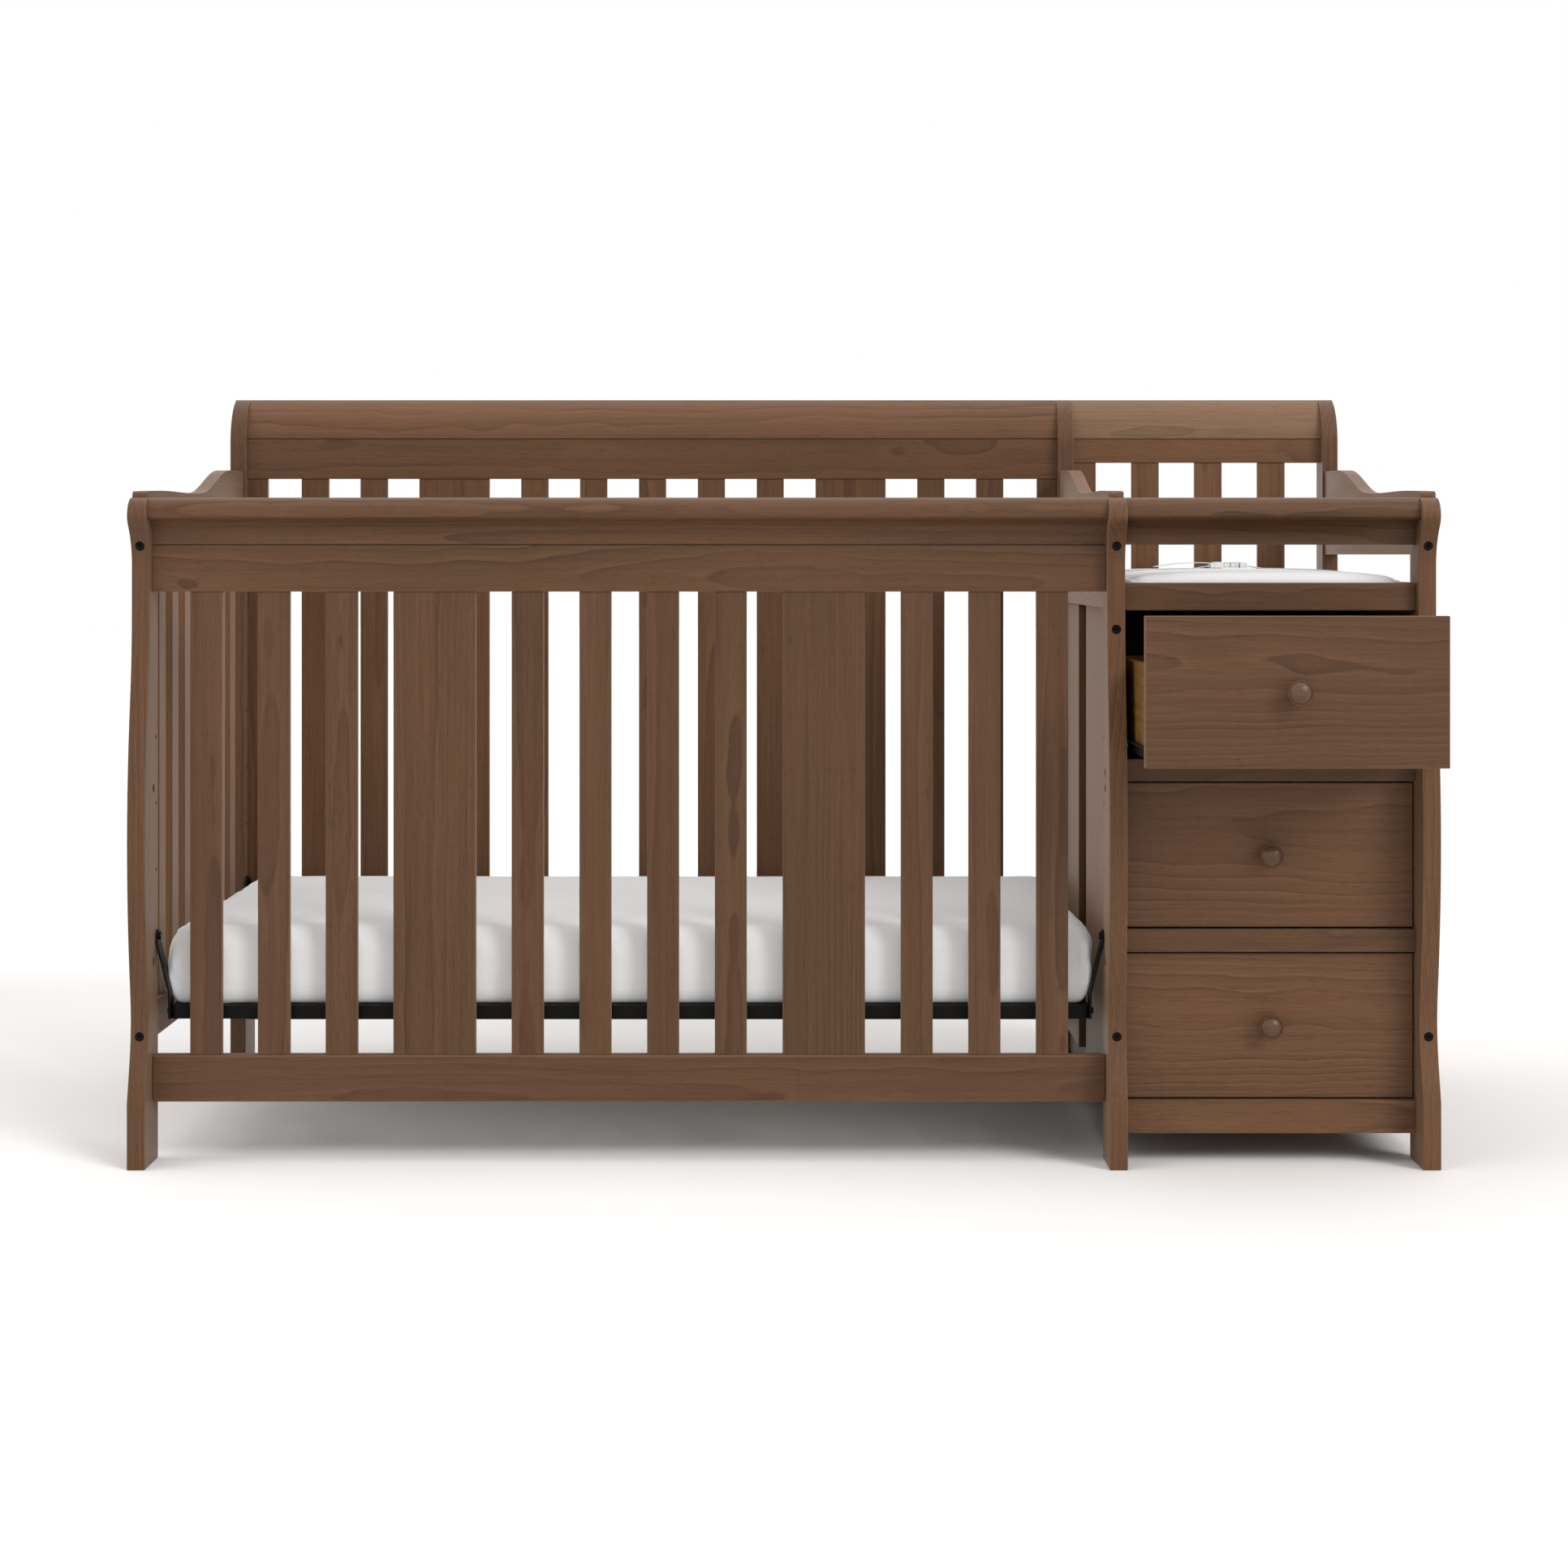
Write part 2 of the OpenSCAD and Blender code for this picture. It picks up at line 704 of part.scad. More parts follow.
// The hutch's slats, with a stile beside the middle post
module hutch_slats() {
    gap = (chest_width - hutch_stile_w - hutch_slat_count * slat_w) / (hutch_slat_count + 1);
    starts = [for (i = [0:hutch_slat_count - 1])
        chest_x0 + hutch_stile_w + gap + i * (slat_w + gap)];
    widths = [for (i = [0:hutch_slat_count - 1]) slat_w];
    color(stained_shade) place()
        slat_row(concat([chest_x0], starts), concat([hutch_stile_w], widths),
            back_rail_y + slat_inset, tray_rail_top, hutch_rail_z);
}

// ---- Drawers: 0 is the bottom one, 1 the middle one and 2 the top one ----

top_drawer = drawer_count - 1;
box_lift = 21;
function opening_z(i) = first_opening_z + i * opening_pitch;
function box_z(i) = opening_z(i) + front_gap_z + box_lift;

// Moves a drawer's pieces out by its pull
module pulled(i) {
    place() translate([0, i == top_drawer ? -drawer_pull : 0, 0]) children();
}

// Draws a right-hand piece of the chest and its mirror image at the left
module both_sides() {
    children();
    translate([2 * chest_mid_x, 0, 0]) mirror([1, 0, 0]) children();
}

knob_screw_r = 2;
module knob_screw_hole(i) {
    bar_y([chest_mid_x, closed_front_y - hidden_overlap, knob_z(i)],
        knob_screw_r + bolt_gap, front_t + box_t + 2 * hidden_overlap);
}
function knob_z(i) = opening_z(i) + opening_h / 2;

module drawer_front(i) {
    color(stained) pulled(i) difference() {
        board([chest_x0 + front_gap_x, closed_front_y, opening_z(i) + front_gap_z],
            [chest_x1 - front_gap_x, front_back_y, opening_z(i) + opening_h - front_gap_z]);
        knob_screw_hole(i);
    }
}

// Sides, front, back and grooved-in bottom of a drawer box, as boards with thin glue lines
groove_depth = 5;
glue_line = 0.1;
module drawer_box(i) {
    x0 = chest_x0 + runner_gap;
    x1 = chest_x1 - runner_gap;
    y0 = front_back_y;
    y1 = y0 + box_length;
    z0 = box_z(i);
    z1 = z0 + box_h;
    inner = box_t - groove_depth;
    groove_z = z0 + box_bottom_z;
    color(golden_pine) pulled(i) {
        difference() {
            for (x = [x0, x1 - box_t])
                board([x, y0, z0], [x + box_t, y1, z1]);
            board([x0 + inner, y0 + inner, groove_z - glue_line],
                [x1 - inner, y1 - inner, groove_z + box_bottom_t + glue_line]);
        }
        difference() {
            for (y = [y0, y1 - box_t])
                board([x0 + box_t + glue_line, y, z0], [x1 - box_t - glue_line, y + box_t, z1]);
            board([x0 + inner, y0 + inner, groove_z - glue_line],
                [x1 - inner, y1 - inner, groove_z + box_bottom_t + glue_line]);
            knob_screw_hole(i);
        }
        board([x0 + inner + glue_line, y0 + inner + glue_line, groove_z],
            [x1 - inner - glue_line, y1 - inner - glue_line, groove_z + box_bottom_t]);
    }
}

// A turned knob with a beaded rim round a shallow dome, and the screw that holds it
knob_screw_head_r = 4.5;
knob_screw_head_h = 2.5;
knob_screw_bite = 12;
thread_gap = 0.1;
module drawer_knob(i) {
    k = knob_r / 17;
    d = knob_out / 28.8;
    outline = [
        [0, 0], [8 * k, 0], [8 * k, 2 * d], [6.8 * k, 5 * d], [6.5 * k, 8 * d], [7.4 * k, 12 * d],
        [10 * k, 15.5 * d], [13.8 * k, 18.2 * d], [16.4 * k, 20 * d], [17 * k, 21.6 * d],
        [16.6 * k, 23 * d], [15.6 * k, 23.6 * d], [14.8 * k, 23.3 * d], [14.2 * k, 23.6 * d],
        [12.5 * k, 25.2 * d], [9.6 * k, 27 * d], [6.4 * k, 28.1 * d], [3.2 * k, 28.6 * d],
        [0, 28.8 * d]
    ];
    screw_length = front_t + box_t + knob_screw_bite;
    color(stained) pulled(i) translate([chest_mid_x, closed_front_y, knob_z(i)])
        rotate([90, 0, 0]) difference() {
            rotate_extrude($fn = 64) polygon(outline);
            translate([0, 0, -hidden_overlap]) cylinder(r = knob_screw_r + thread_gap,
                h = knob_screw_bite + 2 * hidden_overlap, $fn = 32);
        }
    color(black_steel) pulled(i) {
        bar_y([chest_mid_x, closed_front_y - knob_screw_bite, knob_z(i)], knob_screw_r, screw_length);
        bar_y([chest_mid_x, front_back_y + box_t, knob_z(i)], knob_screw_head_r, knob_screw_head_h);
    }
}

// ---- Runners ----
// The right-hand ones are drawn; u counts from the chest's right side towards its middle.

flange_gap = 1;
runner_h = 2 * roller_r + 2 * rolling_gap + 3 * runner_steel + flange_gap;
roller_u = 3.5;
rivet_r = 3;
rivet_t = 0.8;
side_play = 0.3;
function axle_z(i) = opening_z(i) + runner_z + runner_steel + rolling_gap + roller_r;
runner_set_back = 1;
front_axle_y = front_back_y + runner_set_back + roller_inset;
rear_axle_y = front_back_y + box_length - roller_inset;

// A strip of steel between two distances u from the chest's side
module strip(u0, u1, y0, y1, z0, z1) {
    board([chest_x1 - u1, y0, z0], [chest_x1 - u0, y1, z1]);
}

// The channels on the chest's sides, each with a stub axle near its front end
module chest_runners() {
    y0 = front_back_y + runner_set_back;
    y1 = y0 + box_length;
    color(black_steel) place() for (i = [0:drawer_count - 1]) both_sides() {
        z = opening_z(i) + runner_z;
        strip(0, runner_steel, y0, y1, z, z + runner_h);
        strip(0, roller_u + roller_w + side_play, y0, y1, z, z + runner_steel);
        strip(0, roller_u + roller_w / 2, y0, y1, z + runner_h - runner_steel, z + runner_h);
        bar_x([chest_x1 - roller_u - roller_w - side_play, front_axle_y, axle_z(i)],
            axle_r, roller_u + roller_w + side_play);
        bar_x([chest_x1 - roller_u - roller_w - side_play - rivet_t, front_axle_y, axle_z(i)],
            rivet_r, rivet_t);
    }
}

// The angles under a drawer's sides, each with a stub axle near its rear end
module drawer_runners(i) {
    top = axle_z(i) + roller_r + rolling_gap + runner_steel;
    web = runner_gap - runner_steel;
    y0 = front_back_y;
    y1 = y0 + box_length;
    color(black_steel) pulled(i) both_sides() {
        strip(web, runner_gap, y0, y1, opening_z(i) + runner_z - flange_gap, top);
        strip(roller_u - side_play, runner_gap, y0, y1, top - runner_steel, top);
        strip(web, runner_gap + box_t, y0, y1, box_z(i) - runner_steel, box_z(i));
        bar_x([chest_x1 - web, rear_axle_y, axle_z(i)], axle_r, web - roller_u + side_play);
        bar_x([chest_x1 - roller_u + side_play, rear_axle_y, axle_z(i)], rivet_r, rivet_t);
    }
}

// A left and a right roller that turn about one line
module roller_pair(i, y) {
    color(white_plastic) both_sides() difference() {
        bar_x([chest_x1 - roller_u - roller_w, y, axle_z(i)], roller_r, roller_w);
        bar_x([chest_x1 - roller_u - roller_w - hidden_overlap, y, axle_z(i)],
            axle_r + axle_gap, roller_w + 2 * hidden_overlap);
    }
}

module front_rollers(i) {
    place() roller_pair(i, front_axle_y);
}

module rear_rollers(i) {
    pulled(i) roller_pair(i, rear_axle_y);
}

// ---- Mattress support ----

support_x0 = crib_x0 + support_gap;
support_x1 = crib_x1 - support_gap;
support_y0 = crib_y0 + support_side_gap;
support_y1 = back_rail_y - support_side_gap;
support_corner_r = 6;

// The band's outline inset by d, with rounded corners
function band_outline(d) =
    let (r = max(support_corner_r - d, 1),
         x0 = support_x0 + d + r, x1 = support_x1 - d - r,
         y0 = support_y0 + d + r, y1 = support_y1 - d - r)
    concat(arc([x1, y1], r, 0, 90, 4), arc([x0, y1], r, 90, 180, 4),
        arc([x0, y0], r, 180, 270, 4), arc([x1, y0], r, 270, 360, 4));

// A welded frame: a band on edge in four lengths, flat flanges inside its top edge, and flat
// straps across
weld_line = 0.1;
module mattress_support() {
    rim = support_steel + weld_line;
    band_end = support_corner_r + 1;
    flange_z = support_z - support_steel;
    inner_x0 = support_x0 + support_flange;
    pitch = (support_x1 - support_x0 - 2 * support_flange - strap_w) / (strap_count + 1);
    color(black_steel) place() {
        difference() {
            translate([0, 0, support_z - band_h]) linear_extrude(band_h) difference() {
                polygon(band_outline(0));
                polygon(band_outline(support_steel));
            }
            for (x = [support_x0 + band_end, support_x1 - band_end - weld_line])
                board([x, support_y0 - hidden_overlap, support_z - band_h - hidden_overlap],
                    [x + weld_line, support_y1 + hidden_overlap, support_z + hidden_overlap]);
            hanger_places() bar_x([-hidden_overlap, frame_bolt_dy, frame_bolt_z], bolt_r + bolt_gap,
                support_steel + 2 * hidden_overlap);
        }
        for (x = [support_x0 + rim, support_x1 - support_flange])
            board([x, support_y0 + support_corner_r, flange_z],
                [x + support_flange - rim, support_y1 - support_corner_r, support_z]);
        for (y = [support_y0 + rim, support_y1 - support_flange])
            board([inner_x0 + weld_line, y, flange_z],
                [support_x1 - support_flange - weld_line, y + support_flange - rim, support_z]);
        for (i = [1:strap_count]) {
            x = inner_x0 + i * pitch;
            board([x, support_y0 + support_flange + weld_line, flange_z],
                [x + strap_w, support_y1 - support_flange - weld_line, support_z]);
        }
    }
}

// Each hanger runs from a post to an end of the frame; x counts from the frame's end outwards
hanger_shift = 5;        // how far a hanger's middle lies inwards of its post's holes
hanger_end = 14;         // steel above a hanger's upper hole
hanger_flat = 16;        // steel below that hole, down to the bend
hanger_foot = 18;        // flat steel above the support, up to the lower bend
hanger_y = post_depth - hole_inset + hanger_shift;
frame_bolt_z = support_z - band_h / 2;
hanger_top_z = lowest_hole_z + hanger_end;
hanger_bend_z = lowest_hole_z - hanger_flat;

// Puts a piece, drawn at the frame's left end with X inwards, at all four corners
module hanger_places() {
    for (end = [0, 1], side = [0, 1])
        translate([end * 2 * crib_mid_x, side * total_depth, 0])
            mirror([end, 0, 0]) mirror([0, side, 0])
                translate([support_x0, hanger_y, 0]) children();
}

module mattress_hangers() {
    outline = [
        [-hanger_t, frame_bolt_z - band_h / 2], [0, frame_bolt_z - band_h / 2],
        [0, support_z + hanger_foot], [hanger_t - support_gap, hanger_bend_z],
        [hanger_t - support_gap, hanger_top_z], [-support_gap, hanger_top_z],
        [-support_gap, hanger_bend_z], [-hanger_t, support_z + hanger_foot - hanger_t / 2]
    ];
    color(black_steel) place() hanger_places() difference() {
        translate([0, hanger_w / 2, 0]) rotate([90, 0, 0]) linear_extrude(hanger_w) polygon(outline);
        bar_x([-support_gap - hidden_overlap, hole_offset_y, lowest_hole_z], bolt_r + bolt_gap,
            hanger_t + 2 * hidden_overlap);
        bar_x([-hanger_t - hidden_overlap, frame_bolt_dy, frame_bolt_z], bolt_r + bolt_gap,
            hanger_t + 2 * hidden_overlap);
    }
}
hole_offset_y = -hanger_shift;
frame_bolt_dy = 5.5;

// The bolts of the hangers: one into the post, one into the frame
hanger_head_h = 4;
hanger_nut_h = 4;
hanger_nut_r = 4.4;
hanger_head_r = 5.4;
module hanger_bolts() {
    post_bolt = rail_hole_depth - 1;
    color(black_steel) place() hanger_places() {
        bar_x([-support_gap - post_bolt, hole_offset_y, lowest_hole_z], bolt_r, post_bolt + hanger_t);
        bar_x([-support_gap + hanger_t, hole_offset_y, lowest_hole_z], hanger_head_r, hanger_head_h);
        bar_x([-hanger_t, frame_bolt_dy, frame_bolt_z], bolt_r, hanger_t + support_steel);
        bar_x([-hanger_t - hanger_head_h, frame_bolt_dy, frame_bolt_z], hanger_nut_r, hanger_head_h);
        bar_x([support_steel, frame_bolt_dy, frame_bolt_z], hanger_nut_r, hanger_nut_h);
    }
}

// The bolts that join the posts to the end rails, the divider boards and the chest's side
socket_r = 2.9;
socket_depth = 3.5;
bolt_tip_gap = 2;
module frame_bolt(x, z) {
    head_y = edge_depth(front_height, z) + bolt_sink;
    difference() {
        union() {
            bar_y([x, head_y, z], bolt_head_r, bolt_head_h);
            bar_y([x, head_y + bolt_head_h, z], bolt_r,
                post_depth + bolt_reach - bolt_tip_gap - head_y - bolt_head_h);
        }
        translate([x, head_y - hidden_overlap, z]) rotate([-90, 0, 0])
            cylinder(r = socket_r, h = socket_depth + hidden_overlap, $fn = 6);
    }
}

module post_bolts() {
    for (z = bolt_heights(false)) {
        frame_bolt(left_bolt_x, z);
        frame_bolt(right_bolt_x, z);
    }
    for (z = bolt_heights(true))
        frame_bolt(middle_bolt_x, z);
}

module frame_bolts() {
    color(black_steel) place() {
        post_bolts();
        translate([0, total_depth, 0]) mirror([0, 1, 0]) post_bolts();
    }
}

// ---- Bedding ----

cushion_corner_steps = 5;
cushion_side_steps = 6;
cushion_edge_steps = 4;
cushion_crown_shares = [0.86, 0.66, 0.42, 0.2];

// One level of a cushion: a rounded rectangle whose sides are drawn in at their middles
function cushion_level(half, r, pull, z) = [
    for (q = [0:3]) each concat(
        [for (k = [0:cushion_corner_steps])
            let (a = 90 * q + 90 * k / cushion_corner_steps) cushion_corner(half, r, q, a, z)],
        [for (k = [1:cushion_side_steps - 1])
            let (a = 90 * (q + 1), t = k / cushion_side_steps,
                 from = cushion_corner(half, r, q, a, z),
                 to = cushion_corner(half, r, (q + 1) % 4, a, z))
            from + (to - from) * t - pull * 4 * t * (1 - t) * [cos(a), sin(a), 0]]
    )
];

// A point on one of the four rounded corners of a level
function cushion_corner(half, r, q, a, z) = [
    (q == 0 || q == 3 ? 1 : -1) * (half[0] - r) + r * cos(a),
    (q < 2 ? 1 : -1) * (half[1] - r) + r * sin(a),
    z
];

// A crowned cushion with rounded edges, standing on Z = 0 round the origin
module cushion(size, corner_r, edge_r, crown, pull) {
    half = [size[0] / 2, size[1] / 2];
    levels = concat(
        [for (s = [0:cushion_edge_steps])
            let (a = 90 * s / cushion_edge_steps, inset = edge_r * (1 - sin(a)))
            cushion_level([half[0] - inset, half[1] - inset], corner_r - inset / 2, pull,
                edge_r * (1 - cos(a)))],
        [for (s = [0:cushion_edge_steps])
            let (a = 90 * s / cushion_edge_steps, inset = edge_r * (1 - cos(a)))
            cushion_level([half[0] - inset, half[1] - inset], corner_r - inset / 2, pull,
                size[2] - edge_r * (1 - sin(a)))],
        [for (f = cushion_crown_shares)
            [for (p = cushion_level([half[0] - edge_r, half[1] - edge_r], corner_r - edge_r / 2,
                    pull, size[2])) [p[0] * f, p[1] * f, size[2] + crown * (1 - f * f)]]]
    );
    n = len(levels[0]);
    rows = len(levels);
    points = concat([for (level = levels) each level], [[0, 0, 0], [0, 0, size[2] + crown]]);
    walls = [
        for (row = [0:rows - 2], k = [0:n - 1])
            let (a = row * n + k, b = row * n + (k + 1) % n)
            each [[a, b + n, b], [a, a + n, b + n]]
    ];
    floor_faces = [for (k = [0:n - 1]) [rows * n, k, (k + 1) % n]];
    crown_faces = [for (k = [0:n - 1]) [rows * n + 1, (rows - 1) * n + (k + 1) % n, (rows - 1) * n + k]];
    polyhedron(points, concat(walls, floor_faces, crown_faces));
}

mattress_corner_r = 62;
mattress_edge_r = 34;
mattress_pull = 2;
module mattress() {
    color(white_cloth) place()
        translate([crib_mid_x, (crib_y0 + back_rail_y) / 2, support_z + soft_gap])
            cushion([crib_length - 2 * mattress_end_gap, crib_depth - 2 * mattress_side_gap, mattress_h],
                mattress_corner_r, mattress_edge_r, mattress_crown, mattress_pull);
}

pad_corner_r = 30;
pad_edge_r = 9;
pad_pull = 1;
pad_length = crib_depth - 2 * pad_end_gap;
pad_width = chest_width - 2 * pad_side_gap;
pad_mid_y = (crib_y0 + back_rail_y) / 2;
module changing_pad() {
    color(white_cloth) place() translate([chest_mid_x, pad_mid_y, tray_z + soft_gap])
        cushion([pad_width, pad_length, pad_h], pad_corner_r, pad_edge_r, pad_crown, pad_pull);
}

// The strap lies over the pad's crown from one side of the tray to the other
strap_side_gap = 2;
strap_steps = 20;
strap_y = pad_mid_y + 20;
function pad_top(x) =
    let (f = abs(x) / (pad_width / 2 - pad_edge_r))
    tray_z + soft_gap + pad_h + pad_crown * (1 - min(1, f * f));

// One face of the strap, at a distance d above the pad
function strap_face(d) =
    let (side = pad_width / 2 + strap_side_gap + d, flat = pad_width / 2 - pad_edge_r)
    concat(
        [[-side, tray_z], [-side, tray_z + pad_h - pad_edge_r / 2 + d]],
        [for (s = [0:strap_steps]) let (x = -flat + 2 * flat * s / strap_steps)
            [x, pad_top(x) + 2 * soft_gap + d]],
        [[side, tray_z + pad_h - pad_edge_r / 2 + d], [side, tray_z]]
    );

module safety_strap() {
    lower = strap_face(0);
    upper = strap_face(safety_strap_t);
    outline = concat(lower, [for (i = [len(upper) - 1:-1:0]) upper[i]]);
    color(white_cloth) place() translate([chest_mid_x, strap_y + safety_strap_w / 2, 0])
        rotate([90, 0, 0]) linear_extrude(safety_strap_w) polygon(outline);
}

// A side-release buckle: a body with two arm windows and a narrower tongue end
buckle_wall = 2.5;
buckle_arm = 3;
buckle_slit = 2;
buckle_slit_depth = 1;
module strap_buckle() {
    z0 = pad_top(0) + 2 * soft_gap + safety_strap_t;
    half_l = buckle_length / 2;
    half_w = safety_strap_w / 2 + buckle_wall;
    color(white_plastic) place() translate([chest_mid_x, strap_y, z0]) difference() {
        board([-half_l, -half_w, 0], [half_l, half_w, buckle_h]);
        for (side = [-1, 1])
            translate([half_l * 0.42, side * half_w, buckle_h / 2])
                cube([buckle_length * 0.3, 2 * buckle_arm, buckle_h / 2], center = true);
        buckle_cut([half_l * 0.64, half_l * 0.64 + buckle_slit], half_w + hidden_overlap);
        buckle_cut([-half_l * 0.3, half_l * 0.3], half_w / 2);
    }
}

// A shallow cut across the top of the buckle, between two places along it
module buckle_cut(x, half_w) {
    board([x[0], -half_w, buckle_h - buckle_slit_depth], [x[1], half_w, buckle_h + hidden_overlap]);
}

// ---- The pieces ----

front_post(left_post_x, false, 1);  // front_left_post
front_post(crib_x1, true, -1);  // front_middle_post
front_post(right_post_x, false, 0);  // front_right_post
back_post(left_post_x, false, 1);  // back_left_post
back_post(crib_x1, true, -1);  // back_middle_post
back_post(right_post_x, false, 0);  // back_right_post

front_crown();
front_top_rail();
front_bottom_rail();
front_slats();
back_crown();
back_top_rail();
back_bottom_rail();
back_slats();

end_top_rail(left_rail_x, end_rail_bottom, left_bolt_x);  // left_end_top_rail
left_end_bottom_rail();
left_end_slats();
end_top_rail(middle_rail_x, middle_rail_bottom, middle_bolt_x);  // middle_end_top_rail
divider_boards();
end_top_rail(right_rail_x, end_rail_bottom, right_bolt_x);  // right_end_top_rail

chest_left_side();
chest_right_side();
chest_base();
chest_back();
tray_board();
tray_rail();
drawer_rails();
toe_rail();
changer_guard();
hutch_crown();
hutch_top_rail();
hutch_low_rail();
hutch_slats();

drawer_front(2);  // top_drawer_front
drawer_box(2);  // top_drawer_box
drawer_knob(2);  // top_drawer_knob
drawer_runners(2);  // top_drawer_runners
drawer_front(1);  // middle_drawer_front
drawer_box(1);  // middle_drawer_box
drawer_knob(1);  // middle_drawer_knob
drawer_runners(1);  // middle_drawer_runners
drawer_front(0);  // bottom_drawer_front
drawer_box(0);  // bottom_drawer_box
drawer_knob(0);  // bottom_drawer_knob
drawer_runners(0);  // bottom_drawer_runners

chest_runners();
front_rollers(2);  // top_front_rollers
front_rollers(1);  // middle_front_rollers
front_rollers(0);  // bottom_front_rollers
rear_rollers(2);  // top_rear_rollers
rear_rollers(1);  // middle_rear_rollers
rear_rollers(0);  // bottom_rear_rollers

mattress_support();
mattress_hangers();
hanger_bolts();
frame_bolts();
mattress();
changing_pad();
safety_strap();
strap_buckle();
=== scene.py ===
"""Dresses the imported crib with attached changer: stained boards, steel, soft goods and a studio."""

import logging
import math
import random
from collections.abc import Callable
from dataclasses import dataclass, replace
from enum import Enum
from typing import ClassVar

import bmesh
import bpy
from mathutils import Matrix, Vector, geometry, noise
from mathutils.bvhtree import BVHTree


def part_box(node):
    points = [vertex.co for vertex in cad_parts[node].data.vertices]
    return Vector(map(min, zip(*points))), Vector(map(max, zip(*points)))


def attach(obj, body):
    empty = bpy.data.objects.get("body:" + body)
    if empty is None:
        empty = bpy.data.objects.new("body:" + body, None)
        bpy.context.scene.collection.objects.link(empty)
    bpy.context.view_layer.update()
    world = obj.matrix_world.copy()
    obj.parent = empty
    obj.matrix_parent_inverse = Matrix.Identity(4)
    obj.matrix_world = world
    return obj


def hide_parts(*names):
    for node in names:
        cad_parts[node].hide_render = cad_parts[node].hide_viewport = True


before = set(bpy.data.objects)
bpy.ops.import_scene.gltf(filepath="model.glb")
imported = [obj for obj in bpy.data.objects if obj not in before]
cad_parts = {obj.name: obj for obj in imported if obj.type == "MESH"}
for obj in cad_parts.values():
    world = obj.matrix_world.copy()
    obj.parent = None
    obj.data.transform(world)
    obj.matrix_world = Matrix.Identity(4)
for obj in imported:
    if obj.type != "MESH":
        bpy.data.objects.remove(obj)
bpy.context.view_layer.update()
log = logging.getLogger("crib_with_changer")

Triple = tuple[float, float, float]
Pair = tuple[float, float]
Socket = bpy.types.NodeSocket
Material = bpy.types.Material
Piece = bpy.types.Object
Shape = bmesh.types.BMesh
Face = bmesh.types.BMFace
Edge = bmesh.types.BMEdge
ROOT_BODY = "crib_and_chest"
MERGE_DISTANCE = 1e-5
MM_PER_METRE = 1000


class GrainAxis(Enum):
    """The direction in which a board's fibres run."""

    X = 0
    Y = 1
    Z = 2


class Joint(Enum):
    """Where a board meets another one edge to edge, which leaves a thin dark line of shade, painted
    darker still.
    """

    NONE = 0
    BELOW = 1
    ABOVE = 2


def axis_scale(axis: GrainAxis, lengthwise: float, across: float) -> Triple:
    """A scale with one value along an axis, and another on the two axes across it."""
    return tuple(lengthwise if i == axis.value else across for i in range(3))


# ---- Finishes ----


